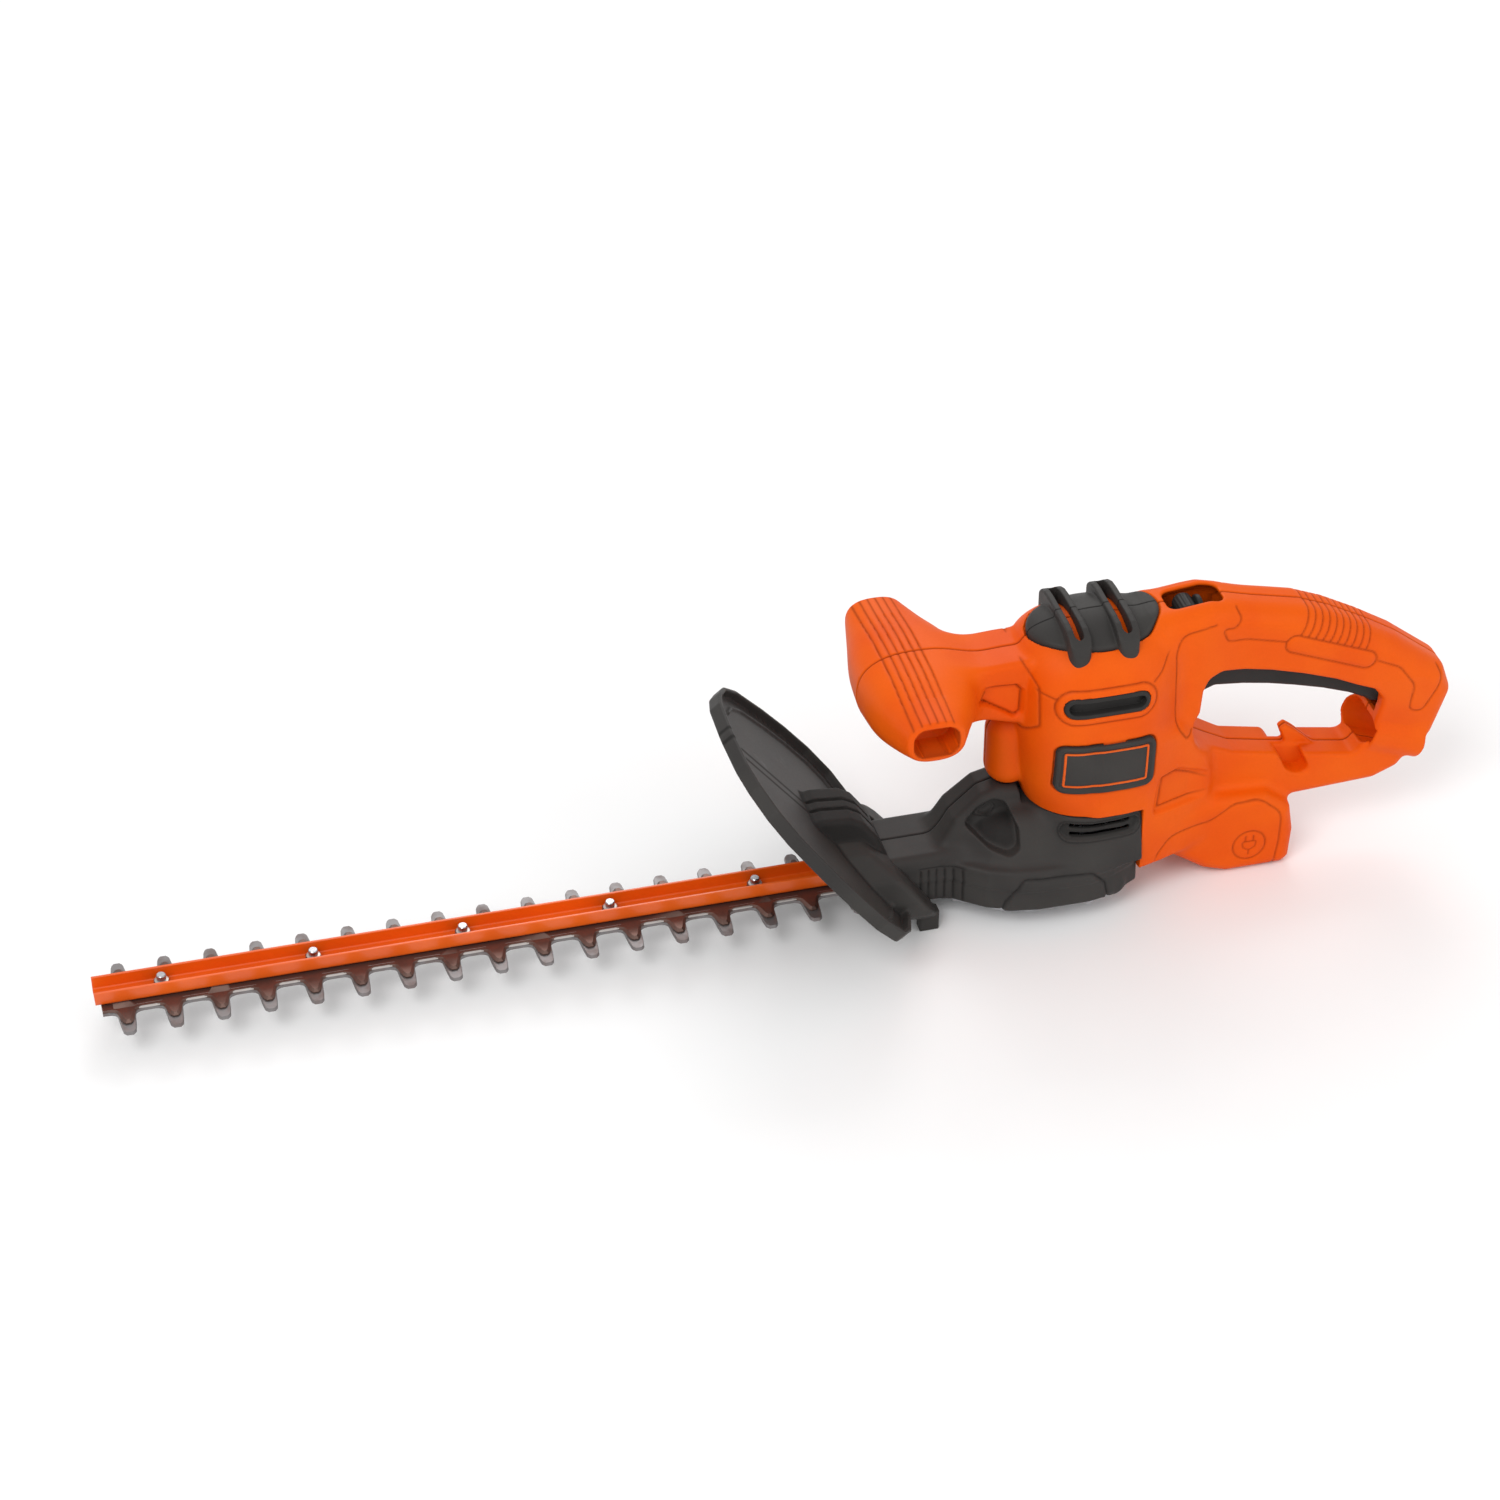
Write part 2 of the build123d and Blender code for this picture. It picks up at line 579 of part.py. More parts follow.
sleeve = loft([
    Plane(origin=(149, 0, 79), z_dir=(1, 0, -0.45)) * RectangleRounded(31, 28, 9),
    Plane(origin=(192, 0, 58.5), z_dir=(1, 0, -0.45)) * RectangleRounded(23, 28, 8),
])
sleeve_bore = loft([
    Plane(origin=(144, 0, 81.3), z_dir=(1, 0, -0.45)) * RectangleRounded(26, 23, 7),
    Plane(origin=(199, 0, 55.2), z_dir=(1, 0, -0.45)) * RectangleRounded(17, 22, 6),
])

pod = soft_prism([(REAR_FACE_X + GAP, 24), (29, 23), (44, 18.4), (64, 4.6), (77, 0),
                  (110, 0), (115, 6), (115, 39), (100, 60),
                  (REAR_FACE_X + GAP, 60)], POD_HALF, 1.8, 5.0)
saddle_half = [(REAR_FACE_X + GAP, 0), (REAR_FACE_X + GAP, 36), (34, 33), (50, 27),
               (66, 22), (66, 0)]
saddle = plan_prism(both_sides(saddle_half), 24, 104)
saddle = fillet(saddle.edges().filter_by(Axis.Z).sort_by(Axis.X)[-2:], 6)
saddle &= side_prism([(REAR_FACE_X + GAP, 24), (44, 21), (66, 30), (66, 70), (50, 104),
                      (REAR_FACE_X + GAP, 104)], 50)

neck = soft_prism([(-88, 133), (-88, 158), (-74, 159.5), (-20, 160.5), (-20, 116),
                   (-44, 121)], 18.0, 2.5, 4.0)
GRIP_SECTIONS = [             # y, centre x, centre z, length, height
    (0.0, -99.0, 143.0, 64.0, 46.0),
    (22.0, -100.0, 144.0, 58.0, 43.0),
    (42.0, -102.0, 146.5, 45.0, 34.0),
    (60.0, -104.0, 149.0, 31.0, 23.0),
]


def grip_half(side):
    """One side of the front grip, lofted from the middle to its open end."""
    sections = []
    for y, x, z, length, height in GRIP_SECTIONS:
        plane = Plane(origin=(x, side * y, z), x_dir=(1, 0, 0), z_dir=(0, side, 0))
        corner = 0.46 * height
        sections.append(plane * RectangleRounded(length, height, corner))
    return loft(sections)


front_grip = grip_half(-1) + grip_half(1)
front_room = []
for side in (-1, 1):
    plane = Plane(origin=(-104, side * 61, 149), x_dir=(1, 0, 0), z_dir=(0, -side, 0))
    inner = Plane(origin=(-102, side * 32, 147), x_dir=(1, 0, 0), z_dir=(0, -side, 0))
    front_room.append(loft([plane * RectangleRounded(26, 18, 8.5),
                            inner * RectangleRounded(34, 26, 12)]))

outer = barrel_outer + frame + saddle + pod + neck + front_grip + front_lobe(0.0) + sleeve
outer -= finger_opening & block((40, 150), (-40, 40), (50, 140))
outer -= sleeve_bore
outer -= block((-60, REAR_FACE_X + GAP), (-60, 60), (0, RING_Z + GAP))

# Cord hook on the lower bar, with a scoop in front of it.
hook = soft_prism([(107, 62), (112, 74), (110, 81), (114, 82.5), (127, 66)], 5.0, 0.8, 1.0)
outer += hook
outer -= cross_pin(105, 75.5, 5.5, 20)

# Rooms inside: motor barrel, grip, column, lower bar and inlet pod.
motor_room = loft([
    Pos(0, 0, 60) * RectangleRounded(66, 66, 32),
    Pos(-1, 0, 92) * RectangleRounded(80, 74, 31),
    Pos(-1, 0, 140) * RectangleRounded(81, 71, 30),
    Pos(-1, 0, 159) * RectangleRounded(62, 53, 22),
])
grip_room = side_prism([(40, 138), (40, 168), (60, 170), (86, 164), (116, 158),
                        (146, 144.5), (176, 124), (176, 112), (163.5, 106),
                        (158, 104.0), (147, 109.0), (134, 115.4), (115, 122.4),
                        (96, 128.2), (81, 131.4), (60, 134)], 14.0)
column_room = side_prism([(40, 64), (40, 140), (53, 140), (53, 103), (57, 88),
                          (66, 76), (80, 70), (80, 42), (50, 42)], 14.0)
bar_room = side_prism([(74, 42), (74, 72), (100, 67), (148, 57), (152, 44)], 14.0)
pod_room = side_prism([(56, 50), (56, 14), (76, 3.5), (111.5, 3.5), (111.5, 50)], 21.0)
back_room = plan_prism(both_sides([(REAR_FACE_X + 3, 0), (REAR_FACE_X + 3, 30),
                                   (34, 29), (46, 25), (60, 20), (60, 0)]), 27, 100)
rooms = motor_room + grip_room + column_room + bar_room + pod_room + back_room
TRIGGER_HALF = 7.5
PIVOT = (166.5, 99.0)         # trigger hinge, x and z
PIVOT_R = 1.75
trigger_slot = side_prism(
    [(57, 112), (57, 136), (68, 146), (120, 146), (172, 113), (172, 92), (162, 91)]
    + FINGER_UPPER, TRIGGER_HALF + 0.6)
rooms -= sleeve
rooms += disc(0, 0, 40, 70, 31.5)
housing = outer - rooms - trigger_slot
housing -= sleeve_bore
for room in front_room:
    housing -= room
housing -= cross_pin(*PIVOT, PIVOT_R + FIT, 12.2)

# Openings for the inlet, the lock-off window, the side vents and the top vent.
INLET_Z = 21.0
housing -= block((100, 120), (-14, 14), (INLET_Z - 10, INLET_Z + 10))
WINDOW_X = (38.5, 68.0)
window = block(WINDOW_X, (-8.5, 8.5), (160, 185))
housing -= fillet(window.edges().filter_by(Axis.Z), 5.0)
VENT_Z = 135.0
VENT_LENGTH = 46.0
side_vents = {}
badges = {}
for side, word in ((-1, "left"), (1, "right")):
    facing = Plane(origin=(-2, side * 60, VENT_Z), x_dir=(1, 0, 0), z_dir=(0, -side, 0))
    hole = extrude(facing * SlotOverall(VENT_LENGTH, 14.0), amount=40)
    housing -= hole & (barrel(1.0) - barrel(-4.0))
    frame_hole = extrude(facing * SlotOverall(VENT_LENGTH - 0.5, 13.5), amount=40)
    grille = extrude(facing * SlotOverall(VENT_LENGTH - 7.0, 7.0), amount=40)
    side_vents[word] = (frame_hole & (barrel(-0.4) - barrel(-3.6))) - grille
    badge_at = Plane(origin=(-2, side * 60, 97), x_dir=(1, 0, 0), z_dir=(0, -side, 0))
    badge_cut = extrude(badge_at * RectangleRounded(52, 28, 6), amount=40)
    badge_form = extrude(badge_at * RectangleRounded(51.5, 27.5, 5.8), amount=40)
    housing -= badge_cut & (barrel(1.0) - barrel(-1.2))
    badges[word] = badge_form & (barrel(0.8) - barrel(-1.1))
    save(side_vents[word], f"side_vent_{word}")
    save(badges[word], f"badge_plate_{word}")

# Top vent cap: an oval cap with two hollow ribs, one piece per housing half.
CAP_X = -2.0
cap_band = extrude(Pos(CAP_X, 0, 140) * Ellipse(36, 30), amount=45)
cap_shell = cap_band & (barrel(0.9) - barrel(-1.9))
cap_seat = extrude(Pos(CAP_X, 0, 140) * Ellipse(36.3, 30.3), amount=45)
housing -= cap_seat & (barrel(3.0) - barrel(-2.1))
RIB_XS = (CAP_X - 15.0, CAP_X + 13.0)
for x in RIB_XS:
    rib = block((x - 5, x + 5), (-31, 31), (140, 178.5))
    rib = fillet(rib.edges().filter_by(Axis.X).sort_by(Axis.Z)[-2:], 20)
    rib_slot = block((x - 1.8, x + 1.8), (-24, 24), (130, 190))
    cap_shell += rib - barrel(-1.0)
    cap_shell -= rib_slot
save(left_of(cap_shell), "vent_cap_left")
save(right_of(cap_shell), "vent_cap_right")
for x in RIB_XS:
    housing -= block((x - 5.3, x + 5.3), (-31.3, 31.3), (140, 179)) - barrel(-1.2)

# Motor carrier: two ribs grip the stator and one web holds the top bearing.
for low in (80.0, 104.0):
    rib = disc(0, 0, low, low + 3.0, 45) & barrel(-1.5)
    housing += rib - disc(0, 0, 60, 130, STATOR_R + FIT)
web = (disc(0, 0, 145.5, 150.5, 40) & barrel(-2.3)) - disc(0, 0, 140, 160, 9.5 + FIT)
for side in (-1, 1):
    web -= block((-24, 24), (side * 18 - 6, side * 18 + 6), (140, 160))
housing += web

# Screws join the halves from the right.
HOUSING_SCREWS = [(-70, 146), (46, 126), (46, 50), (124, 54), (178, 112)]
SCREW_HEAD_Y = 10.0
screws = []
for x, z in HOUSING_SCREWS:
    housing += cross_pin(x, z, 4.4, 60.0) & outer
    housing -= cross_pin(x, z, 1.5 + FIT, 11.0)
    housing -= cross_pin(x, z, 3.6, 25.0, SCREW_HEAD_Y + 25.0)
    screw = cross_pin(x, z, 1.5, 10.3, 0.3) + cross_pin(x, z, 3.2, 1.2, SCREW_HEAD_Y + 1.25)
    screws.append(screw)
save(Compound(screws), "housing_screws")
save(left_of(housing), "housing_left")
save(right_of(housing), "housing_right")

# ------------------------------ trigger and switch ---------------------------

TOWER_TOP = 133.6              # the trigger's tower lifts the switch plunger
TRIGGER_LOWER = [(60.5, 113), (62.5, 117.5), (70, 119.8), (84, 118.0), (99, 115.2),
                 (114, 111.4), (131, 106.4), (147, 100.2), (158, 93.9), (163, 93.0)]
TRIGGER_UPPER = [(170, 98), (167, 103.5), (158, 108.5), (147, 113.5), (134, 119.8),
                 (115, 126.8), (96, 132.2), (81, 135), (68, 136), (63, 133)]
trigger = side_prism(TRIGGER_LOWER + TRIGGER_UPPER, TRIGGER_HALF)
trigger += block((94, 102), (-4, 4), (125, TOWER_TOP))
trigger -= cross_pin(*PIVOT, PIVOT_R + FIT, 20)
save(trigger, "trigger")
save(cross_pin(*PIVOT, PIVOT_R, 12.0), "trigger_pin")

# Lock-off: a carrier under the window with a barrel-shaped thumb pad.
PAD_X = 50.0
carrier = block((42, 64.5), (-7, 7), (161.5, 164.0))
carrier += block((43, 60), (-5.5, 5.5), (152, 162))
pad = cross_pin(PAD_X, 167.0, 5.5, 7.0)
pad = fillet(pad.edges(), 1.2)
ridge = ring(0, 0, -1.2, 1.2, 7.2, 5.0)
ridge = Pos(PAD_X + 6.4, 0, 166.0) * Rot(0, 90, 0) * ridge
slider = carrier + pad + (ridge & block((40, 70), (-8, 8), (163, 174)))
save(slider, "lock_off_slider")

switch = block((88, 118), (-7.5, 7.5), (142.5, 155.5))
PLUNGER_X = 98.0
switch -= block((PLUNGER_X - 3.3, PLUNGER_X + 3.3), (-3.3, 3.3), (141, 151.5))
save(switch, "power_switch")
plunger = block((PLUNGER_X - 3, PLUNGER_X + 3), (-3, 3), (TOWER_TOP + 0.4, 145.6))
save(plunger, "switch_plunger")

# ----------------------------------- inlet ----------------------------------

inlet = block((92, 114.6), (-13.7, 13.7), (INLET_Z - 9.7, INLET_Z + 9.7))
inlet = fillet(inlet.edges().filter_by(Axis.X), 3.0)
socket = block((97, 118), (-11, 11), (INLET_Z - 7, INLET_Z + 7))
socket = fillet(socket.edges().filter_by(Axis.X), 2.0)
inlet -= socket
prongs = []
for side in (-1, 1):
    y = side * 6.35
    inlet -= block((90, 100), (y - 0.75, y + 0.75), (INLET_Z - 3.2, INLET_Z + 3.2))
    prong = block((88, 112), (y - 0.75, y + 0.75), (INLET_Z - 3.2, INLET_Z + 3.2))
    prongs.append(prong)
save(inlet, "inlet_body")
save(Compound(prongs), "inlet_prongs")
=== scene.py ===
import sys
import json
import logging
import math
from dataclasses import dataclass
from enum import Enum
from typing import Any, Callable, Sequence

import bmesh
import bpy
import numpy as np
from mathutils import Matrix, Vector


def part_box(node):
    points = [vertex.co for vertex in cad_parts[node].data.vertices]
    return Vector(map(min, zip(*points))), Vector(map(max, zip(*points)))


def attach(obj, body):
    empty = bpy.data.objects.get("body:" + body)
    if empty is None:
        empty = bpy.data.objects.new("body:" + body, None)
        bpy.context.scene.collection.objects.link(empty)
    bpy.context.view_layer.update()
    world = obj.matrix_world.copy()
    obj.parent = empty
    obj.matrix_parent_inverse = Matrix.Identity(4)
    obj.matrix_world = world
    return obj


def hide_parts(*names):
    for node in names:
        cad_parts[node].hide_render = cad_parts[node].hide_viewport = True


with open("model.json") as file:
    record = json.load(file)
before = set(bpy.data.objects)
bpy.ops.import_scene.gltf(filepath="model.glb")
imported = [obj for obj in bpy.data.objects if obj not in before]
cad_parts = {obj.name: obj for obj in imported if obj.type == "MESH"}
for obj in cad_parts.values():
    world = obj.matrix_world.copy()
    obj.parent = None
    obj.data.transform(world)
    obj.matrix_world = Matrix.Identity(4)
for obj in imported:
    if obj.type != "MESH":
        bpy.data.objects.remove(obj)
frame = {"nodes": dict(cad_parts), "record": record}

# The hedge trimmer's looks.  Shapes are worked out in millimetres and made in metres.
Array = np.ndarray
Field = Callable[[Array, Array, Array], Array]
Points = Sequence[tuple[float, float]]

MM = 0.001
PARTING = 0.1                     # half the line between two moulded halves
WALL = 2.6                        # wall of a moulded shell
STEP = 0.85
CASE_STEP = STEP * 0.85
FINE_STEP = 0.45
MOST_TRIANGLES = 185_000
SHARP_ANGLE = 55.0                # a moulded edge that turns more stays sharp
LINE_DEPTH = 0.55                 # depth of the housing's moulded lines
Tint = tuple[float, float, float, float]
log = logging.getLogger("hedge_trimmer")


class Side(Enum):
    """The operator's left and right."""

    LEFT = -1
    RIGHT = 1

    @property
    def word(self) -> str:
        """The side's name as the CAD nodes use it."""
        return self.name.lower()

    def room(self, reach: float) -> tuple[float, float]:
        """The span in Y that a half is cast in: reach outwards, and a little past the parting."""
        return (-reach, 2) if self is Side.LEFT else (-2, reach)


# ------------------------------------ distance fields ------------------------------------

def smin(a: Array, b: Array, soft: float) -> Array:
    """Join two distance fields with a fillet.

    Args:
        a: Distances to the first shape.
        b: Distances to the second shape.
        soft: Reach of the fillet.

    Returns:
        Distances to the joined shape.
    """
    share = np.clip(0.5 + 0.5 * (b - a) / soft, 0, 1)
    return b + (a - b) * share - soft * share * (1 - share)


def smax(a: Array, b: Array, soft: float) -> Array:
    """Keep what two distance fields share, with a rounded edge."""
    return -smin(-a, -b, soft)


def slab(side: Array, across: Array, edge: Any) -> Array:
    """Carry an outline sideways and round its rims.

    Args:
        side: Distances to the outline in its own plane.
        across: Distances past the slab's faces, negative inside.
        edge: Radius of the rims.

    Returns:
        Distances to the solid.
    """
    a = side + edge
    b = across + edge
    return np.minimum(np.maximum(a, b), 0) + np.hypot(np.maximum(a, 0), np.maximum(b, 0)) - edge


def stadium(u: Array, v: Array, half: float, radius: Any) -> Array:
    """Distances to a straight slot with round ends, centred on zero along u."""
    return np.hypot(np.maximum(np.abs(u) - half, 0), v) - radius


def box2(u: Array, v: Array, half_u: Any, half_v: Any, corner: float) -> Array:
    """Distances to a rectangle with round corners, centred on zero."""
    a = np.abs(u) - half_u + corner
    b = np.abs(v) - half_v + corner
    return np.hypot(np.maximum(a, 0), np.maximum(b, 0)) + np.minimum(np.maximum(a, b), 0) - corner


def inside(distance: Array, soft: float = 0.6) -> Array:
    """1 inside a shape and 0 outside it, with a soft step at its edge."""
    t = np.clip(0.5 - distance / (2 * soft), 0, 1)
    return t * t * (3 - 2 * t)


def line(distance: Array, width: float = 0.55) -> Array:
    """1 on a line and 0 away from it."""
    return np.exp(-np.square(distance / width))


def nearest_line(run: Array, pitch: float, count: int) -> Array:
    """Distance to the nearest of count lines, a pitch apart, the first at zero."""
    return np.abs(run - pitch * np.round(np.clip(run / pitch, 0, count - 1)))


def profile(knots: Sequence[float], values: Sequence[float]) -> Callable[[Array], Array]:
    """A smooth curve through a few values.

    Args:
        knots: Places of the values, rising.
        values: The curve's value at each place.

    Returns:
        A function that gives the curve's value anywhere, level past both ends.
    """
    at = np.linspace(knots[0], knots[-1], 240)
    slopes = np.gradient(values, knots)
    cell = np.clip(np.searchsorted(knots, at, side="right") - 1, 0, len(knots) - 2)
    low, high = np.asarray(knots)[cell], np.asarray(knots)[cell + 1]
    t = (at - low) / (high - low)
    first, last = np.asarray(values)[cell], np.asarray(values)[cell + 1]
    bend_in, bend_out = slopes[cell] * (high - low), slopes[cell + 1] * (high - low)
    curve = (first * (2 * t**3 - 3 * t**2 + 1) + bend_in * (t**3 - 2 * t**2 + t)
             + last * (3 * t**2 - 2 * t**3) + bend_out * (t**3 - t**2))
    return lambda x: np.interp(x, at, curve)


def round_corners(points: Points, corner: float, closed: bool) -> list[tuple[float, float]]:
    """Replace each corner of an outline by an arc.

    Args:
        points: The outline's corners.
        corner: Radius of the arcs, less where an edge is short.
        closed: Whether the last point joins the first.

    Returns:
        The outline with its arcs as short straight runs.
    """
    if corner <= 0:
        return list(points)
    made: list[tuple[float, float]] = []
    count = len(points)
    for index, point in enumerate(points):
        if not closed and index in (0, count - 1):
            made.append(point)
            continue
        here = np.array(point)
        back = np.array(points[index - 1]) - here
        ahead = np.array(points[(index + 1) % count]) - here
        reach_back, reach_ahead = np.linalg.norm(back), np.linalg.norm(ahead)
        turn = math.acos(np.clip(back @ ahead / (reach_back * reach_ahead), -1, 1))
        cut = min(corner / max(math.tan(turn / 2), 1e-3), 0.48 * reach_back, 0.48 * reach_ahead)
        start, end = here + back * cut / reach_back, here + ahead * cut / reach_ahead
        for t in np.linspace(0, 1, 6):
            spot = start * (1 - t)**2 + here * 2 * t * (1 - t) + end * t**2
            made.append((float(spot[0]), float(spot[1])))
    return made


class Outline:
    """An outline in a plane, kept as a table of distances for quick reading."""

    MARGIN = 24.0
    TABLE_STEP = 0.5

    def __init__(self, points: Points, corner: float = 0.0, closed: bool = True) -> None:
        """Measure the table.

        Args:
            points: Corners of the outline, in order.
            corner: Radius of its corners.
            closed: False for an open line, which has no inside.
        """
        ring = np.array(round_corners(points, corner, closed))
        self.low = ring.min(0) - self.MARGIN
        self.high = ring.max(0) + self.MARGIN
        u, v = (np.arange(lo, hi + self.TABLE_STEP, self.TABLE_STEP)
                for lo, hi in zip(self.low, self.high))
        grid_u, grid_v = np.meshgrid(u, v, indexing="ij")
        nearest = np.full(grid_u.shape, 1e9)
        within = np.zeros(grid_u.shape, bool)
        ends = np.roll(ring, -1, axis=0) if closed else ring[1:]
        for (au, av), (bu, bv) in zip(ring, ends):
            du, dv = bu - au, bv - av
            t = np.clip(((grid_u - au) * du + (grid_v - av) * dv) / max(du * du + dv * dv, 1e-9), 0, 1)
            nearest = np.minimum(nearest, np.square(grid_u - au - t * du) + np.square(grid_v - av - t * dv))
            if closed and av != bv:
                spans = (grid_v >= av) != (grid_v >= bv)
                within ^= spans & (grid_u < au + (grid_v - av) / dv * du)
        self.table = np.sqrt(nearest) * np.where(within, -1, 1)

    def __call__(self, u: Array, v: Array) -> Array:
        """Distances from points (u, v) to the outline, negative inside."""
        cu, cv = np.clip(u, self.low[0], self.high[0]), np.clip(v, self.low[1], self.high[1])
        fu, fv = (cu - self.low[0]) / self.TABLE_STEP, (cv - self.low[1]) / self.TABLE_STEP
        iu = np.minimum(fu.astype(int), self.table.shape[0] - 2)
        iv = np.minimum(fv.astype(int), self.table.shape[1] - 2)
        fu, fv = fu - iu, fv - iv
        near = self.table[iu, iv] * (1 - fv) + self.table[iu, iv + 1] * fv
        far = self.table[iu + 1, iv] * (1 - fv) + self.table[iu + 1, iv + 1] * fv
        return near * (1 - fu) + far * fu + np.hypot(u - cu, v - cv)


class Mould:
    """Casts a distance field into a mesh of even quads."""

    BLOCK = 8
    BATCH = 300_000
    TAPS = np.array([(1, 1, 1), (1, -1, -1), (-1, 1, -1), (-1, -1, 1)], float) / math.sqrt(3)

    def __init__(self, low: Sequence[float], high: Sequence[float], step: float) -> None:
        """Set the room that the shape is cast in.

        Args:
            low: Lowest corner.
            high: Highest corner.
            step: Size of the quads.
        """
        self.step = step
        self.axes = []
        for lo, hi in zip(low, high):
            blocks = math.ceil((hi - lo) / step / self.BLOCK)
            self.axes.append(lo + step * np.arange(blocks * self.BLOCK + 1))

    def _sample(self, shape: Field) -> Array:
        """Distances on the grid, worked out in full only near the surface."""
        middles = np.meshgrid(*[a[self.BLOCK // 2::self.BLOCK] for a in self.axes], indexing="ij")
        rough = shape(*middles)
        near = np.abs(rough) < self.step * self.BLOCK * 1.15 + 1.5
        for axis in range(3):
            rough, near = (np.repeat(a, self.BLOCK, axis) for a in (rough, near))
        values = np.pad(rough, ((0, 1),) * 3, mode="edge")
        wanted = np.pad(near, ((0, 1),) * 3)
        for axis in range(3):
            later = [slice(None)] * 3
            earlier = [slice(None)] * 3
            later[axis], earlier[axis] = slice(1, None), slice(None, -1)
            wanted[tuple(later)] |= wanted[tuple(earlier)].copy()
        places = np.argwhere(wanted)
        for start in range(0, len(places), self.BATCH):
            i, j, k = places[start:start + self.BATCH].T
            values[i, j, k] = shape(self.axes[0][i], self.axes[1][j], self.axes[2][k])
        return values

    def cast(self, shape: Field) -> tuple[Array, Array]:
        """Find the surface.

        Args:
            shape: The distance field, negative inside.

        Returns:
            Vertices in millimetres, and quads of vertex numbers.
        """
        values = self._sample(shape)
        solid = values < 0
        corners = np.zeros([n - 1 for n in values.shape], np.int8)
        for i in (0, 1):
            for j in (0, 1):
                for k in (0, 1):
                    corners += solid[i:i - 1 or None, j:j - 1 or None, k:k - 1 or None]
        active = (corners > 0) & (corners < 8)
        cells = np.argwhere(active)
        number = np.full(active.shape, -1, np.int64)
        number[active] = np.arange(len(cells))
        total = np.zeros((len(cells), 3))
        crossings = np.zeros(len(cells))
        quads = []
        for axis in range(3):
            one, two = (axis + 1) % 3, (axis + 2) % 3
            for first in (0, 1):
                for second in (0, 1):
                    start = cells.copy()
                    start[:, one] += first
                    start[:, two] += second
                    end = start.copy()
                    end[:, axis] += 1
                    near, far = values[tuple(start.T)], values[tuple(end.T)]
                    cross = (near < 0) != (far < 0)
                    t = np.where(cross, near / np.where(cross, near - far, 1), 0)
                    spot = start.astype(float)
                    spot[:, axis] += t
                    total += spot * cross[:, None]
                    crossings += cross
            trim: list[Any] = [slice(1, -1)] * 3
            trim[axis] = slice(None, -1)
            ahead = list(trim)
            ahead[axis] = slice(1, None)
            edges = np.argwhere(solid[tuple(trim)] != solid[tuple(ahead)])
            edges[:, one] += 1
            edges[:, two] += 1
            ring = []
            for first, second in ((-1, -1), (0, -1), (0, 0), (-1, 0)):
                cell = edges.copy()
                cell[:, one] += first
                cell[:, two] += second
                ring.append(number[tuple(cell.T)])
            quad = np.stack(ring, 1)
            outward = solid[tuple(edges.T)]
            quads.append(np.where(outward[:, None], quad, quad[:, ::-1]))
        origin = np.array([a[0] for a in self.axes])
        spots = origin + self.step * total / crossings[:, None]
        return self._settle(spots, shape), np.concatenate(quads)

    def _settle(self, spots: Array, shape: Field) -> Array:
        """Move each vertex onto the surface itself."""
        probe = 0.08
        for _ in range(2):
            for start in range(0, len(spots), self.BATCH):
                part = spots[start:start + self.BATCH]
                slope = np.zeros_like(part)
                level = np.zeros(len(part))
                for tap in self.TAPS:
                    reading = shape(*(part + probe * tap).T)
                    slope += reading[:, None] * tap
                    level += reading / 4
                slope *= 3 / (4 * probe)
                size = np.maximum(np.square(slope).sum(1), 0.05)
                move = np.clip(level / size, -0.6 * self.step, 0.6 * self.step)
                spots[start:start + self.BATCH] = part - slope * move[:, None]
        return spots


# ---------------------------------------- meshes -----------------------------------------

def link(name: str, mesh: bpy.types.Mesh) -> bpy.types.Object:
    """Put a mesh into the scene as an object at the origin."""
    piece = bpy.data.objects.new(name, mesh)
    bpy.context.scene.collection.objects.link(piece)
    return piece


def mesh_piece(name: str, spots: Array, quads: Array, marks: Field | None = None,
               crisp: float = SHARP_ANGLE) -> bpy.types.Object:
    """Make an object from quads.

    Args:
        name: The piece's name.
        spots: Vertices in millimetres.
        quads: Vertex numbers, four to a face.
        marks: Gives 1 in a moulded line and 0 between them; the materials paint shade along the lines.
        crisp: Edges that turn more than this many degrees stay sharp.

    Returns:
        The new object.
    """
    mesh = bpy.data.meshes.new(name)
    mesh.vertices.add(len(spots))
    mesh.vertices.foreach_set("co", (spots * MM).astype(np.float32).ravel())
    mesh.loops.add(quads.size)
    mesh.loops.foreach_set("vertex_index", quads.astype(np.int32).ravel())
    mesh.polygons.add(len(quads))
    mesh.polygons.foreach_set("loop_start", np.arange(0, quads.size, 4, dtype=np.int32))
    mesh.update(calc_edges=True)
    mesh.validate()
    piece = link(name, mesh)
    if len(quads) * 2 > MOST_TRIANGLES:
        thin = piece.modifiers.new("thin", "DECIMATE")
        thin.ratio = MOST_TRIANGLES / (len(quads) * 2)
        piece = bake(piece)
    if marks is not None:
        # The marks become the groove attribute, along which the materials paint shade.
        places = np.zeros(len(piece.data.vertices) * 3)
        piece.data.vertices.foreach_get("co", places)
        values = np.clip(marks(*(places.reshape(-1, 3) / MM).T), 0, 1).astype(np.float32)
        piece.data.attributes.new("groove", "FLOAT", "POINT").data.foreach_set("value", values)
    smooth(piece.data, crisp)
    return piece


def smooth(mesh: bpy.types.Mesh, crisp: float) -> None:
    """Shade a mesh smooth, apart from edges that turn more than crisp degrees."""
    mesh.shade_smooth()
    mesh.set_sharp_from_angle(angle=math.radians(crisp))


def bake(piece: bpy.types.Object) -> bpy.types.Object:
    """Turn a piece with modifiers into a plain mesh."""
    depsgraph = bpy.context.evaluated_depsgraph_get()
    mesh = bpy.data.meshes.new_from_object(piece.evaluated_get(depsgraph))
    piece.modifiers.clear()
    old = piece.data
    piece.data = mesh
    bpy.data.meshes.remove(old)
    mesh.name = piece.name
    return piece


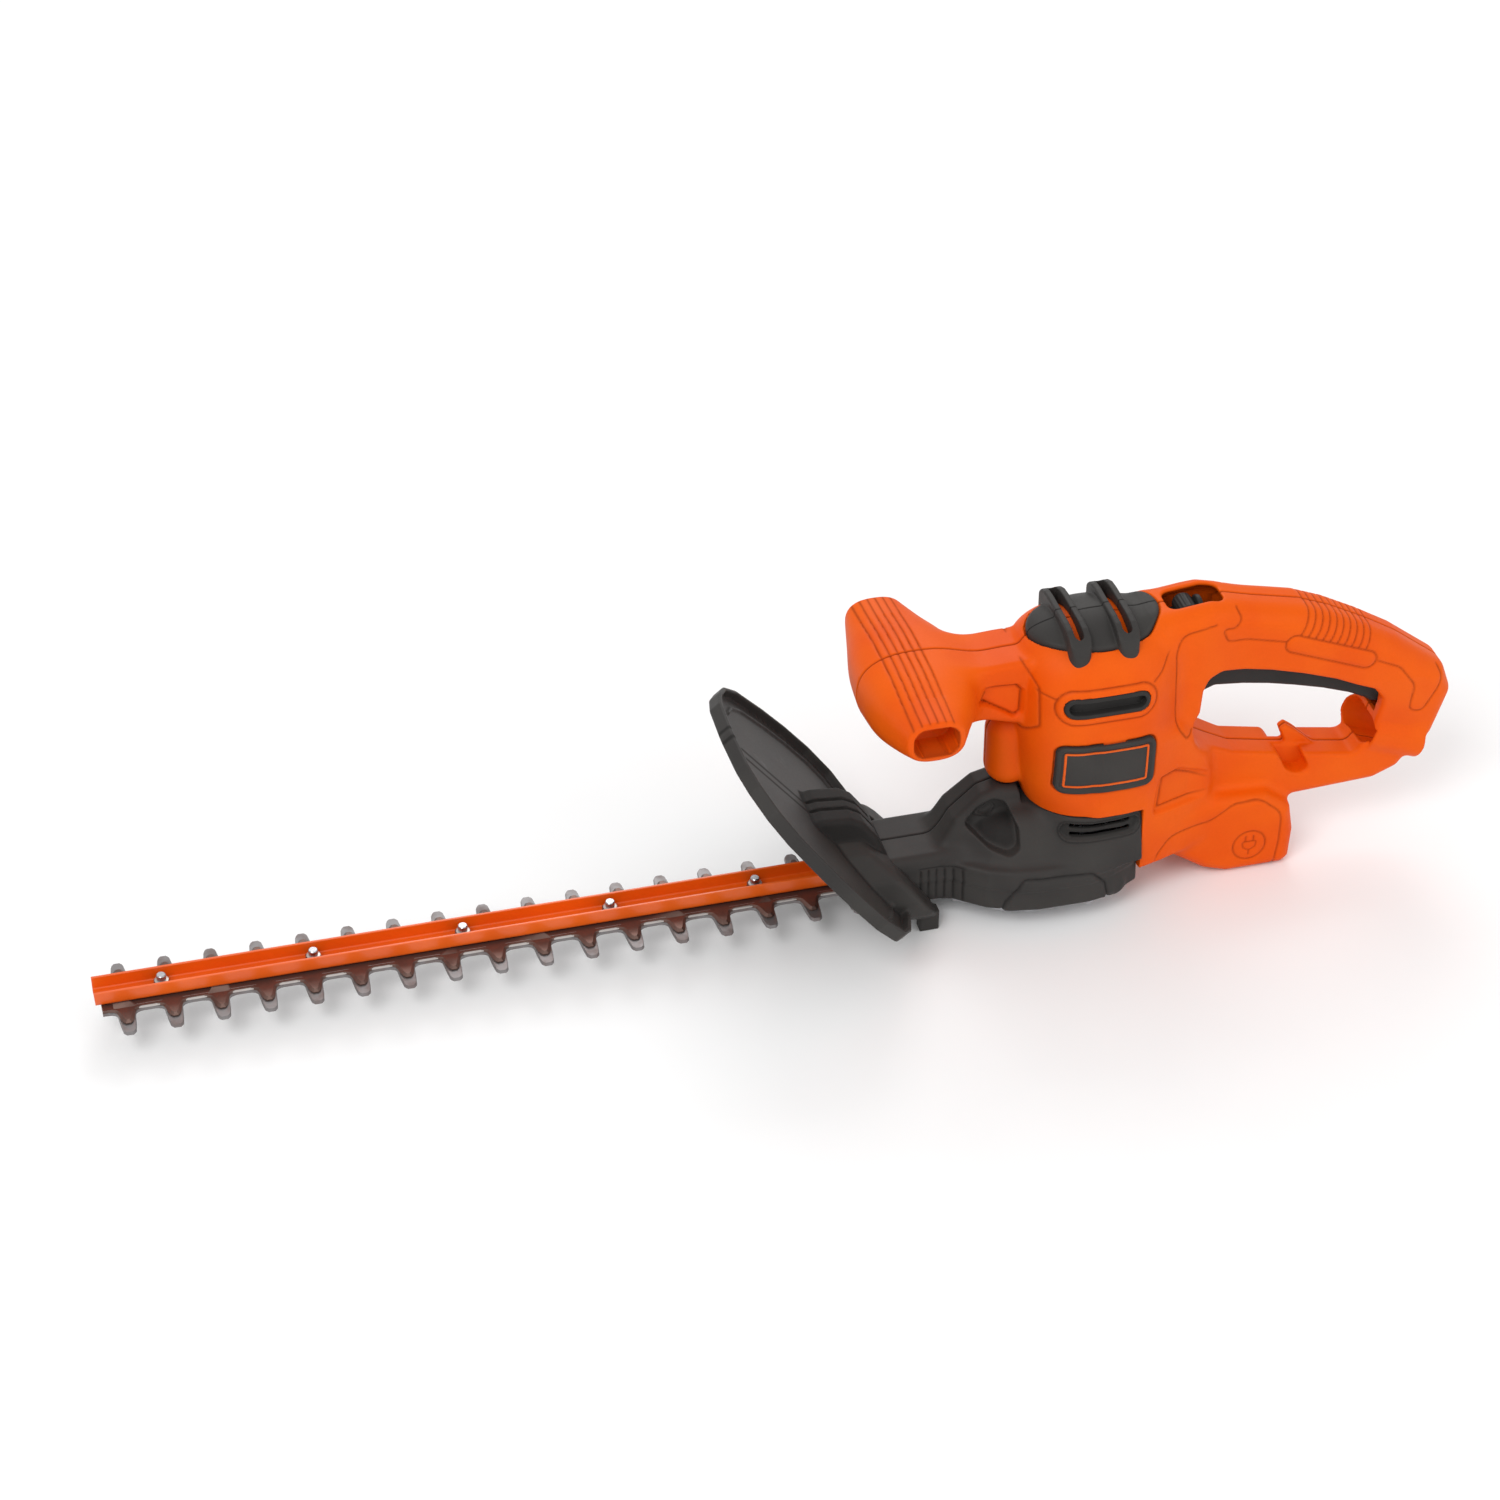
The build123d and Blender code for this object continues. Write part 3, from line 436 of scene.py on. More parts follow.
def sweep(name: str, ring: Points, stations: Sequence[float]) -> bpy.types.Object:
    """Carry a closed (y, z) profile along X, closed at both ends."""
    count = len(ring)
    spots = [(x * MM, y * MM, z * MM) for x in stations for y, z in ring]
    faces = []
    for row in range(len(stations) - 1):
        for index in range(count):
            a, b = row * count + index, row * count + (index + 1) % count
            faces.append((a, a + count, b + count, b))
    faces.append(tuple(range(count)))
    total = len(stations) * count
    faces.append(tuple(range(total - 1, total - count - 1, -1)))
    return solid_piece(name, spots, faces)


def solid_piece(name: str, spots: Sequence[Sequence[float]], faces: Sequence[Sequence[int]],
                crisp: float = 35.0) -> bpy.types.Object:
    """Make a closed object from vertices in metres, with its faces turned outwards."""
    mesh = bpy.data.meshes.new(name)
    mesh.from_pydata([tuple(s) for s in spots], [], [tuple(f) for f in faces])
    work = bmesh.new()
    work.from_mesh(mesh)
    bmesh.ops.remove_doubles(work, verts=work.verts, dist=1e-7)
    bmesh.ops.recalc_face_normals(work, faces=work.faces)
    work.to_mesh(mesh)
    work.free()
    smooth(mesh, crisp)
    return link(name, mesh)


def lathe(rings: Points, sides: int,
          hexes: int = 0) -> tuple[list[tuple[float, float, float]], list[tuple[int, ...]]]:
    """Turn a profile about Z.

    Args:
        rings: (radius, height) of each ring, from the bottom to the top.
        sides: Vertices in a ring.
        hexes: How many rings, counted from the top, are hexagons of that radius.

    Returns:
        Vertices in metres and faces.
    """
    spots, faces = [], []
    for level, (radius, height) in enumerate(rings):
        for side in range(sides):
            angle = 2 * math.pi * side / sides
            reach = radius
            if level >= len(rings) - hexes:
                reach = radius / math.cos((angle + math.pi / 6) % (math.pi / 3) - math.pi / 6)
            spots.append((reach * math.cos(angle) * MM, reach * math.sin(angle) * MM, height * MM))
    for level in range(len(rings) - 1):
        for side in range(sides):
            a, b = level * sides + side, level * sides + (side + 1) % sides
            faces.append((a, b, b + sides, a + sides))
    faces.append(tuple(range(sides - 1, -1, -1)))
    faces.append(tuple(range((len(rings) - 1) * sides, len(rings) * sides)))
    return spots, faces


class RowTree:
    """A Geometry Nodes tree that repeats a shape along a straight line."""

    def __init__(self, name: str, material: bpy.types.Material) -> None:
        """Build the tree.

        Args:
            name: The tree's name.
            material: What the repeated shape is made of.
        """
        self.tree = bpy.data.node_groups.new(name, "GeometryNodeTree")
        sockets = self.tree.interface
        sockets.new_socket("Shape", in_out="INPUT", socket_type="NodeSocketGeometry")
        self.count = sockets.new_socket("Count", in_out="INPUT", socket_type="NodeSocketInt").identifier
        self.first = sockets.new_socket("First", in_out="INPUT", socket_type="NodeSocketVector").identifier
        self.pitch = sockets.new_socket("Pitch", in_out="INPUT", socket_type="NodeSocketVector").identifier
        sockets.new_socket("Shape", in_out="OUTPUT", socket_type="NodeSocketGeometry")
        nodes, links = self.tree.nodes, self.tree.links
        given = nodes.new("NodeGroupInput")
        places = nodes.new("GeometryNodeMeshLine")
        copies = nodes.new("GeometryNodeInstanceOnPoints")
        real = nodes.new("GeometryNodeRealizeInstances")
        finish = nodes.new("GeometryNodeSetMaterial")
        result = nodes.new("NodeGroupOutput")
        finish.inputs["Material"].default_value = material
        links.new(given.outputs["Count"], places.inputs["Count"])
        links.new(given.outputs["First"], places.inputs["Start Location"])
        links.new(given.outputs["Pitch"], places.inputs["Offset"])
        links.new(places.outputs["Mesh"], copies.inputs["Points"])
        links.new(given.outputs["Shape"], copies.inputs["Instance"])
        links.new(copies.outputs["Instances"], real.inputs["Geometry"])
        links.new(real.outputs["Geometry"], finish.inputs["Geometry"])
        links.new(finish.outputs["Geometry"], result.inputs["Shape"])

    def repeat(self, piece: bpy.types.Object, count: int, first: Vector, pitch: Vector) -> bpy.types.Object:
        """Replace a piece's mesh by a row of copies.

        Args:
            piece: One copy, centred on the origin.
            count: How many there are.
            first: Where the first one stands, in metres.
            pitch: From one to the next, in metres.

        Returns:
            The same object with the whole row as a plain mesh.
        """
        row = piece.modifiers.new("row", "NODES")
        row.node_group = self.tree
        row[self.count] = count
        row[self.first] = first
        row[self.pitch] = pitch
        return bake(piece)


# --------------------------------------- finishes ----------------------------------------

class Sock:
    """A shader socket or number that takes part in Python expressions."""

    def __init__(self, shader: "Shader", value: Any) -> None:
        """Wrap a node's output socket."""
        self.shader, self.value = shader, value

    def _maths(self, operation: str, *operands: Any) -> "Sock":
        """Add one Math node."""
        return self.shader.node("ShaderNodeMath", {"operation": operation}, *operands)

    def __add__(self, other: Any) -> "Sock":
        """Sum."""
        return self._maths("ADD", self, other)

    def __mul__(self, other: Any) -> "Sock":
        """Product."""
        return self._maths("MULTIPLY", self, other)

    def __sub__(self, other: Any) -> "Sock":
        """Difference."""
        return self._maths("SUBTRACT", self, other)

    def __rsub__(self, other: Any) -> "Sock":
        """Difference from a number."""
        return self._maths("SUBTRACT", other, self)

    __radd__ = __add__
    __rmul__ = __mul__


class Shader:
    """Builds one material's nodes."""

    def __init__(self, name: str) -> None:
        """Start an empty material.

        Args:
            name: The material's name.
        """
        self.material = bpy.data.materials.new(name)
        self.material.use_nodes = True
        self.tree = self.material.node_tree
        self.tree.nodes.clear()
        self.surface = self.tree.nodes.new("ShaderNodeBsdfPrincipled")
        output = self.tree.nodes.new("ShaderNodeOutputMaterial")
        self.tree.links.new(self.surface.outputs[0], output.inputs["Surface"])
        self.place = self.node("ShaderNodeTexCoord", output="Object")

    def node(self, kind: str, settings: dict[str, Any] | None = None, *given: Any,
             output: Any = 0, **named: Any) -> Sock:
        """Add a node.

        Args:
            kind: The node's type.
            settings: Its properties, set first.
            given: Values or links for its sockets, in their order.
            output: Name or number of the output that is wanted.
            named: Values or links for sockets by name, with _ for a space.

        Returns:
            The wanted output.
        """
        made = self.tree.nodes.new(kind)
        for key, value in (settings or {}).items():
            setattr(made, key, value)
        pairs = list(zip(made.inputs, given))
        pairs += [(made.inputs[key.replace("_", " ")], value) for key, value in named.items()]
        for socket, value in pairs:
            self.feed(socket, value)
        return Sock(self, made.outputs[output])

    def feed(self, socket: bpy.types.NodeSocket, value: Any) -> None:
        """Set or link one input socket."""
        if isinstance(value, Sock):
            self.tree.links.new(value.value, socket)
        elif value is not None:
            socket.default_value = value

    def noise(self, size: float, detail: float = 3.0, stretch: Sequence[float] = (1, 1, 1)) -> Sock:
        """Noise whose features are about size millimetres across."""
        where = self.node("ShaderNodeMapping", {"vector_type": "POINT"}, Vector=self.place,
                          Scale=[s / (size * MM) for s in stretch])
        return self.node("ShaderNodeTexNoise", None, Vector=where, Scale=1.0, Detail=detail, output="Fac")

    def ramp(self, value: Sock, low: float, high: float) -> Sock:
        """0 below low, 1 above high and smooth between."""
        return self.node("ShaderNodeMapRange", {"interpolation_type": "SMOOTHSTEP"},
                         Value=value, From_Min=low, From_Max=high)

    def mix(self, share: Any, first: Any, second: Any) -> Sock:
        """Blend two colours."""
        made = self.tree.nodes.new("ShaderNodeMix")
        made.data_type = "RGBA"
        for key, value in (("Factor_Float", share), ("A_Color", first), ("B_Color", second)):
            socket = next(s for s in made.inputs if s.identifier == key)
            self.feed(socket, value)
        return Sock(self, next(s for s in made.outputs if s.identifier == "Result_Color"))

    def set(self, **values: Any) -> None:
        """Set or link the surface's sockets by name, with _ for a space."""
        for key, value in values.items():
            self.feed(self.surface.inputs[key.replace("_", " ")], value)


def colour(red: int, green: int, blue: int) -> Tint:
    """Scene colour of an 8-bit display colour."""
    linear = [(c / 255 / 12.92) if c <= 10 else ((c / 255 + 0.055) / 1.055)**2.4
              for c in (red, green, blue)]
    return (linear[0], linear[1], linear[2], 1.0)


@dataclass(frozen=True)
class Plastic:
    """Moulded plastic with a spark-eroded grain, and painted shade in its moulded lines."""

    name: str
    base: Tint
    shade: Tint
    # dark colour of the random flecks, and of the painted shade in the moulded lines
    dirt: Tint
    rough: float
    grain: float = 0.35
    specular: float = 0.12
    # how far the painted shade darkens the moulded lines
    painted_line_shade: float = 0.62

    def make(self) -> bpy.types.Material:
        """Build the material."""
        s = Shader(self.name)
        flow = s.noise(38.0, 2.0)
        fleck = s.noise(1.4, 4.0)
        rub = s.ramp(s.noise(16.0, 5.0), 0.60, 0.76)
        groove = s.node("ShaderNodeAttribute", {"attribute_name": "groove"}, output="Fac")
        tint = s.mix(s.ramp(flow, 0.3, 0.75), self.base, self.shade)
        tint = s.mix(fleck * 0.10, tint, self.dirt)
        # Painted shade: the moulded lines are darkened towards the dark colour.
        tint = s.mix(groove * self.painted_line_shade, tint, self.dirt)
        pits = s.noise(self.grain, 2.0)
        scuff = s.ramp(s.noise(2.2, 3.0, (1.0, 0.12, 1.0)), 0.66, 0.78)
        bump = s.node("ShaderNodeBump", None, Strength=0.30, Distance=0.00005,
                      Height=pits - scuff * rub * 0.6)
        s.set(Base_Color=tint, Normal=bump,
              Roughness=self.rough + (fleck - 0.5) * 0.10 - rub * 0.09 + groove * 0.2)
        s.surface.inputs["Specular IOR Level"].default_value = self.specular
        return s.material


@dataclass(frozen=True)
class Metal:
    """Bare or coated metal with brushed streaks and stains, and painted shade in any grooves."""

    name: str
    base: Tint
    # colour of the stains, and of the painted shade in grooves
    stain_and_line_shade: Tint
    rough: float
    metallic: float = 1.0
    streak: tuple[float, float, float] = (0.06, 1.0, 1.0)
    stained: float = 0.5

    def make(self) -> bpy.types.Material:
        """Build the material."""
        s = Shader(self.name)
        brushed = s.noise(0.5, 4.0, self.streak)
        cloud = s.ramp(s.noise(12.0, 5.0), 0.42, 0.70)
        groove = s.node("ShaderNodeAttribute", {"attribute_name": "groove"}, output="Fac")
        tint = s.mix(cloud * self.stained, self.base, self.stain_and_line_shade)
        # Painted shade: grooves are darkened to the stain colour.
        tint = s.mix(groove, tint, self.stain_and_line_shade)
        bump = s.node("ShaderNodeBump", None, Strength=0.25, Distance=0.00004, Height=brushed)
        s.set(Base_Color=tint, Normal=bump, Metallic=self.metallic - cloud * 0.15,
              Roughness=self.rough + (brushed - 0.5) * 0.18 + cloud * 0.12)
        return s.material


@dataclass(frozen=True)
class Paint:
    """Stoved paint on sheet steel, scratched along the run."""

    name: str
    base: Tint
    shade: Tint
    lacquer: float = 0.25
    lacquer_rough: float = 0.2

    def make(self) -> bpy.types.Material:
        """Build the material."""
        s = Shader(self.name)
        peel = s.noise(1.1, 2.0)
        flow = s.ramp(s.noise(45.0, 3.0), 0.3, 0.7)
        scratch = s.ramp(s.noise(0.9, 4.0, (0.03, 1.0, 1.0)), 0.67, 0.74)
        tint = s.mix(flow * 0.6, self.base, self.shade)
        tint = s.mix(scratch * 0.25, tint, self.shade)
        bump = s.node("ShaderNodeBump", None, Strength=0.22, Distance=0.00006,
                      Height=peel - scratch * 0.7)
        s.set(Base_Color=tint, Normal=bump, Roughness=0.36 + (peel - 0.5) * 0.08 + scratch * 0.15)
        s.surface.inputs["Coat Weight"].default_value = self.lacquer
        s.surface.inputs["Coat Roughness"].default_value = self.lacquer_rough
        return s.material


class Finishes:
    """Every material of the object, made once."""

    def __init__(self) -> None:
        """Make them."""
        grime = colour(22, 20, 19)
        self.orange = Plastic("orange_shell", colour(232, 92, 3), colour(226, 82, 2),
                              colour(112, 34, 4), 0.50).make()
        self.black = Plastic("black_shell", colour(62, 60, 58), colour(54, 52, 51),
                             colour(18, 17, 17), 0.50).make()
        self.soft_black = Plastic("control_black", colour(52, 50, 49), colour(44, 43, 42),
                                  colour(14, 14, 14), 0.44, 0.25).make()
        self.bright_line = Plastic("badge_line", colour(226, 98, 34), colour(214, 88, 28),
                                   colour(130, 44, 10), 0.42, 0.25).make()
        self.bar = Paint("bar_orange", colour(232, 96, 8), colour(214, 80, 4)).make()
        self.lower_steel = Metal("lower_blade_steel", colour(132, 128, 128), colour(104, 78, 70), 0.42,
                                 metallic=0.75).make()
        self.upper_steel = Metal("upper_blade_steel", colour(112, 88, 80), colour(84, 56, 48), 0.40,
                                 metallic=0.75, stained=0.7).make()
        self.ground = Metal("ground_edge", colour(196, 190, 186), colour(150, 140, 134), 0.34,
                            metallic=0.7, stained=0.25).make()
        self.zinc = Metal("zinc_fastener", colour(104, 98, 95), colour(70, 60, 56), 0.42,
                          metallic=0.6, streak=(1.0, 1.0, 1.0)).make()
        self.machined = Metal("machined_steel", colour(176, 176, 180), colour(120, 118, 118), 0.28,
                              streak=(1.0, 1.0, 0.08), stained=0.3).make()
        self.bronze = Metal("sintered_bronze", colour(172, 128, 72), colour(112, 80, 44), 0.45).make()
        self.alloy = Metal("cast_alloy", colour(170, 172, 176), colour(128, 128, 130), 0.48,
                           streak=(1.0, 1.0, 1.0)).make()
        self.iron = Metal("lamination_iron", colour(116, 114, 114), grime, 0.50,
                          streak=(0.4, 0.4, 6.0), stained=0.6).make()
        self.copper = Metal("enamelled_wire", colour(176, 84, 42), colour(110, 44, 22), 0.30,
                            streak=(1.0, 1.0, 5.0)).make()
        self.carbon = Plastic("brush_carbon", colour(40, 40, 42), colour(30, 30, 32), grime,
                              0.62, 0.6).make()
        self.by_slot = {
            "housing_shell": self.orange, "case_shell": self.black, "control_plastic": self.soft_black,
            "blade_steel": self.lower_steel, "bar_paint": self.bar, "fastener_steel": self.zinc,
            "machined_steel": self.machined, "bronze": self.bronze, "cast_aluminium": self.alloy,
            "lamination_iron": self.iron, "enamelled_copper": self.copper, "carbon": self.carbon,
        }


def islands(node: str) -> list[tuple[Array, Array]]:
    """Boxes of a CAD node's separate solids, in millimetres, ordered along X."""
    mesh = frame["nodes"][node].data
    spots = np.zeros(len(mesh.vertices) * 3)
    mesh.vertices.foreach_get("co", spots)
    spots = spots.reshape(-1, 3) / MM
    key = np.unique(np.round(spots, 3), axis=0, return_inverse=True)[1].ravel()
    leader = np.arange(key.max() + 1)
    corners = key[np.array([p.vertices[:3] for p in mesh.polygons])]
    changed = True
    while changed:
        lowest = leader[corners].min(1)
        before = leader.copy()
        for column in range(3):
            np.minimum.at(leader, corners[:, column], lowest)
        leader = leader[leader]
        changed = not np.array_equal(before, leader)
    groups = [spots[leader[key] == value] for value in np.unique(leader)]
    boxes = [(group.min(0), group.max(0)) for group in groups]
    return sorted(boxes, key=lambda pair: (round(float(pair[0][0]), 1), float(pair[0][2])))


def room_of(node: str, reach: float) -> tuple[list[float], list[float]]:
    """A CAD node's box in millimetres, widened by reach on every side."""
    low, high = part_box(node)
    return [c / MM - reach for c in low], [c / MM + reach for c in high]


def dress(piece: bpy.types.Object, finish: bpy.types.Material, body: str, slot: str, *nodes: str) -> None:
    """Give a piece its finish, its body and the CAD nodes it stands for.

    Args:
        piece: The finished piece.
        finish: Its material.
        body: The CAD body it moves with.
        slot: The record's material slot; not used.
        nodes: CAD nodes that it replaces.
    """
    piece.data.materials.clear()
    piece.data.materials.append(finish)
    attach(piece, body)
    if nodes:
        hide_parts(*nodes)
    log.info("%s: %d faces on %s", piece.name, len(piece.data.polygons), body)


# ------------------------------------- orange housing ------------------------------------

@dataclass
class Housing:
    """The orange clamshell: barrel, neck, T-grip, loop handle, cord sleeve and inlet pod."""

    floor: float = 65.3           # where the barrel stands on the gear case
    rear_face: float = 20.3       # where the saddle meets the gear case
    grip_reach: float = 60.0      # end of the T-grip from the middle
    axis_x: float = -1.5          # middle of the barrel along the tool
    vent_x: float = -4.3          # side grille: its middle, half its run and its radius
    vent_z: float = 139.5
    vent_run: float = 17.5
    vent_radius: float = 6.2
    badge_x: float = -3.5         # recess for the badge plate: its middle, halves and corner
    badge_z: float = 100.0
    badge_half: tuple[float, float] = (27.4, 15.9)
    badge_corner: float = 5.5
    sleeve_x: float = 158.3       # middle of the cord sleeve's mouth, and its direction
    sleeve_z: float = 72.9
    sleeve_turn: tuple[float, float] = (0.928, -0.372)
    sleeve_length: float = 35.5
    ribs: int = 10                # ribs on the rear grip and lines round the front one
    rib_pitch: float = 4.6
    grip_lines: int = 6
    grip_line_pitch: float = 4.25
    screw_count: int = 5

    def __post_init__(self) -> None:
        """Lay out the outlines that the shape is made from."""
        self.screws = islands("housing_screws")[:self.screw_count]
        self.half_length = profile([60, 78, 100, 136, 160, 182], [34.5, 39.5, 43.0, 43.8, 43.0, 40.0])
        self.half_width = profile([60, 78, 100, 136, 160, 182], [35.5, 38.2, 39.6, 39.0, 38.0, 36.0])
        self.top_line = Outline([(25, 172.5), (40, 173.5), (60, 175.8), (70, 174), (86, 169.4), (114, 162.6),
                                 (132, 155), (152, 144), (172, 131.5), (199.5, 110), (205, 94), (195, 62.5),
                                 (185, 56), (178, 46.5), (164, 40.5), (112, 38), (50, 38), (25, 60)], 9)
        self.finger = Outline([(56, 110), (52.4, 102), (52, 94.5), (56, 89), (66, 83), (80, 75.4),
                               (106, 69.8), (132, 64.8),
                               (151, 61.2), (160, 75), (163.4, 92.8), (163.4, 97), (158, 104.6), (147, 109.6),
                               (134, 116), (115, 123), (96, 128.8), (81, 132), (67, 134), (60, 131),
                               (57, 124)], 6)
        self.saddle = Outline([(-10, 0), (-10, 37), (21, 37), (34, 33), (50, 27), (64, 21), (66, 0),
                               (64, -21), (50, -27), (34, -33), (21, -37), (-10, -37)], 8)
        self.saddle_side = Outline([(-10, 24), (44, 20), (68, 30), (70, 66), (58, 92), (44, 108),
                                    (-10, 120)], 8)
        self.pod = Outline([(-10, 23), (29, 23), (44, 18.4), (64, 4.6), (77, 0.2), (110, 0.2), (114.4, 4),
                            (115.4, 22), (112.6, 39), (98, 50), (70, 52), (40, 46), (-10, 44)], 4)
        self.neck = Outline([(-92, 131), (-92, 157), (-78, 158.6), (-52, 160), (-20, 160.5), (-20, 116),
                             (-44, 119.5), (-62, 125)], 3)
        self.grip_x = profile([0, 22, 42, 62], [-99.5, -100.0, -102.5, -105.0])
        self.grip_z = profile([0, 22, 42, 62], [143.0, 143.6, 146.0, 150.0])
        self.grip_half_x = profile([0, 22, 42, 62], [31.0, 28.5, 21.5, 14.6])
        self.grip_half_z = profile([0, 22, 42, 62], [23.0, 21.5, 16.8, 11.2])
        self.hook = Outline([(108, 56), (113, 70), (110, 78), (113.4, 80.4), (118.6, 76.4),
                             (131, 64.5), (131, 56)], 1.2)
        self.trigger_slot = Outline([(57, 108), (57, 136), (68, 146), (120, 146), (172, 113), (172, 92),
                                     (170, 84), (162, 84), (156, 92), (120, 107), (76, 114)], 2)
        self.lines = [
            Outline([(50, 103), (45.6, 101.2), (39.8, 109.7), (38.2, 153), (42, 163.4),
                     (61, 166.2)], 12, False),
            Outline([(74, 171), (76.5, 165.4), (72, 161.6), (65, 162.2), (68.5, 153.8), (80.3, 152.6),
                     (102.4, 146.8)], 4, False),
            Outline([(157, 124.7), (170.3, 118.3), (180.6, 104.2), (179.4, 86.6), (187.4, 84.2), (197, 105.5),
                     (194, 113)], 10, False),
            Outline([(27, 20), (31.9, 31), (39, 38.6), (65.6, 39.6), (77.5, 47.8), (93.8, 47.9),
                     (106.4, 37), (106.2, 18.3), (103.8, 0)], 11, False),
        ]
        self.barrel_lines = [
            Outline([(-44.5, 149), (-38, 146), (-31, 144)], 2, False),
            Outline([(22, 148), (27, 151), (36, 160)], 3, False),
            Outline([(-46.5, 162), (-38.5, 148), (-38, 125), (-44.5, 117)], 3, False),
        ]
        self.saddle_pocket = Outline([(26, 58), (28.5, 83.5), (41.5, 84.5), (64, 71.5), (70.5, 62.5),
                                      (65.5, 56)], 4)
        self.neck_pocket = Outline([(-70.5, 140.5), (-66.5, 148), (-48, 146.8), (-44.4, 142.6),
                                    (-44.8, 128.2), (-48.5, 125.6)], 2.5)
        self.plug_sign = [
            Outline([(86.6, 24.2), (86.6, 20.6)], 0, False),
            Outline([(91.2, 24.2), (91.2, 20.6)], 0, False),
            Outline([(84.8, 20.4), (93, 20.4), (92.4, 16.6), (88.9, 14.6), (85.4, 16.6)], 1),
            Outline([(88.9, 14.4), (88.9, 11.6)], 0, False),
        ]

    def barrel(self, x: Array, y: Array, z: Array) -> Array:
        """The motor barrel with its domed top."""
        walls = box2(x - self.axis_x, y, self.half_length(z), self.half_width(z), 32.0)
        crown = 175.4 - 0.0060 * np.square(x + 2) - 0.0125 * np.square(y)
        top = (z - crown) / np.sqrt(1 + np.square(0.012 * (x + 2)) + np.square(0.025 * y))
        return smax(smax(walls, top, 13.0), self.floor - z, 1.2)

    def t_grip(self, x: Array, y: Array, z: Array) -> Array:
        """The front grip, thick in the middle and narrowing to open ends."""
        across = np.abs(y)
        half_x, half_z = self.grip_half_x(across), self.grip_half_z(across)
        u = (x - self.grip_x(across)) / half_x
        v = (z - self.grip_z(across)) / half_z
        radius = np.power(np.power(np.abs(u), 2.5) + np.power(np.abs(v), 2.5), 0.4)
        round_d = (radius - 1) * np.minimum(half_x, half_z) * 0.93
        return smax(round_d, across - self.grip_reach, 2.4)

    def outer(self, x: Array, y: Array, z: Array) -> Array:
        """The whole outside without its fine lines."""
        across = np.abs(y)
        rise = np.clip((z - 76) / 34, 0, 1)
        half = 13.8 + 3.4 * rise + 3.0 * inside(x - 66, 16.0)
        handle = slab(self.top_line(x, z), across - half, 6.0 + 5.5 * rise)
        saddle = smax(slab(self.saddle(x, y), self.saddle_side(x, z), 5.0), 24 - z, 3.0)
        handle = smin(handle, saddle, 9.0)
        pod = slab(self.pod(x, z), across - 24.2, 6.5)
        handle = smin(handle, pod, 6.0)
        handle = smax(handle, -self.finger(x, z), 3.2)
        hook = slab(self.hook(x, z), across - 3.4, 1.2)
        past_end = np.maximum(60 - z, 0) + np.maximum(z - 84, 0)
        scoop = np.hypot(0.9 * (x - 110.2 - 0.46 * (74 - z)), past_end) - 5.8
        handle = smax(handle, -np.maximum(scoop, 4.2 - across), 2.2)
        handle = smin(handle, hook, 1.6)
        along, above = self._sleeve(x, z)
        mouth = -along - 1.0 - 0.20 * y + 0.02 * np.square(above)
        tube = box2(above, y, 10.4, 16.4, 8.5)
        tube = smax(smax(tube, mouth, 0.9), along - self.sleeve_length + 0.3 * np.maximum(above, 0), 1.6)
        handle = smin(handle, tube, 2.4)
        room = np.maximum(box2(above, y, 9.0, 15.0, 7.5), np.maximum(mouth, -along - 22))
        handle = smax(handle, -room, 0.8)
        lobe = np.hypot(np.hypot(x + 45.5, y), np.maximum(z - 106, 0) + np.minimum(z - 85, 0)) - 12.8
        neck = slab(self.neck(x, z), across - 18.0, 3.6)
        body = smin(self.barrel(x, y, z), lobe, 2.6)
        body = smin(body, smin(neck, self.t_grip(x, y, z), 9.0), 2.4)
        body = smin(body, handle, 8.0)
        seat = np.maximum(x - self.rear_face, z - self.floor)
        body = smax(body, -seat, 0.8)
        bore = np.maximum(box2(above, y, 8.0, 14.0, 6.5), -along - 8)
        return smax(body, -bore, 0.9)

    def _sleeve(self, x: Array, z: Array) -> tuple[Array, Array]:
        """Distance down the cord sleeve from its mouth, and height above its middle."""
        dx, dz = x - self.sleeve_x, z - self.sleeve_z
        cosine, sine = self.sleeve_turn
        return dx * cosine + dz * sine, dz * cosine - dx * sine

    def vent(self, x: Array, z: Array) -> Array:
        """The side grille's opening."""
        return stadium(x - self.vent_x, z - self.vent_z, self.vent_run, self.vent_radius)

    def badge(self, x: Array, z: Array) -> Array:
        """The recess for the badge plate."""
        return box2(x - self.badge_x, z - self.badge_z, *self.badge_half, self.badge_corner)

    def grooves(self, x: Array, y: Array, z: Array) -> Array:
        """1 in every moulded line and 0 between them; the lines are cut in, and the materials paint shade
        along them.
        """
        side = inside(10.5 - np.abs(y), 1.0)
        rear = inside(30 - x, 2.0) * side
        marks = sum(line(seam(x, z)) for seam in self.lines) * rear
        flank = inside(24 - np.abs(y), 2.0)
        neck_flank = inside(12 - np.abs(y), 2.0) * inside(x + 30, 2.0)
        for seam, where in zip(self.barrel_lines, (flank, flank, neck_flank)):
            marks = marks + line(seam(x, z)) * where
        marks = marks + line(self.vent(x, z) - 4.0) * flank
        marks = marks + line(self.badge(x, z), 0.7) * flank
        marks = marks + line(self._pill(x, z), 0.6) * rear
        run = (x - 116) * 0.885 - (z - 160) * 0.465
        nearest = nearest_line(run, self.rib_pitch, self.ribs)
        marks = marks + line(nearest) * inside(-self._above_pill(x, z) + 5.6, 0.8) * inside(105 - x, 2)
        nearest = nearest_line(x + 117, self.grip_line_pitch, self.grip_lines)
        ends = inside(np.abs(y) - 59, 0.5) * inside(x + 93, 1.0) * (x < -90)
        marks = marks + line(nearest) * ends * inside(7 - np.abs(z - self.grip_z(np.abs(y))), 3.0)
        mouth = box2(x - self.grip_x(59.0), z - self.grip_z(59.0), 14.6, 11.2, 9.0)
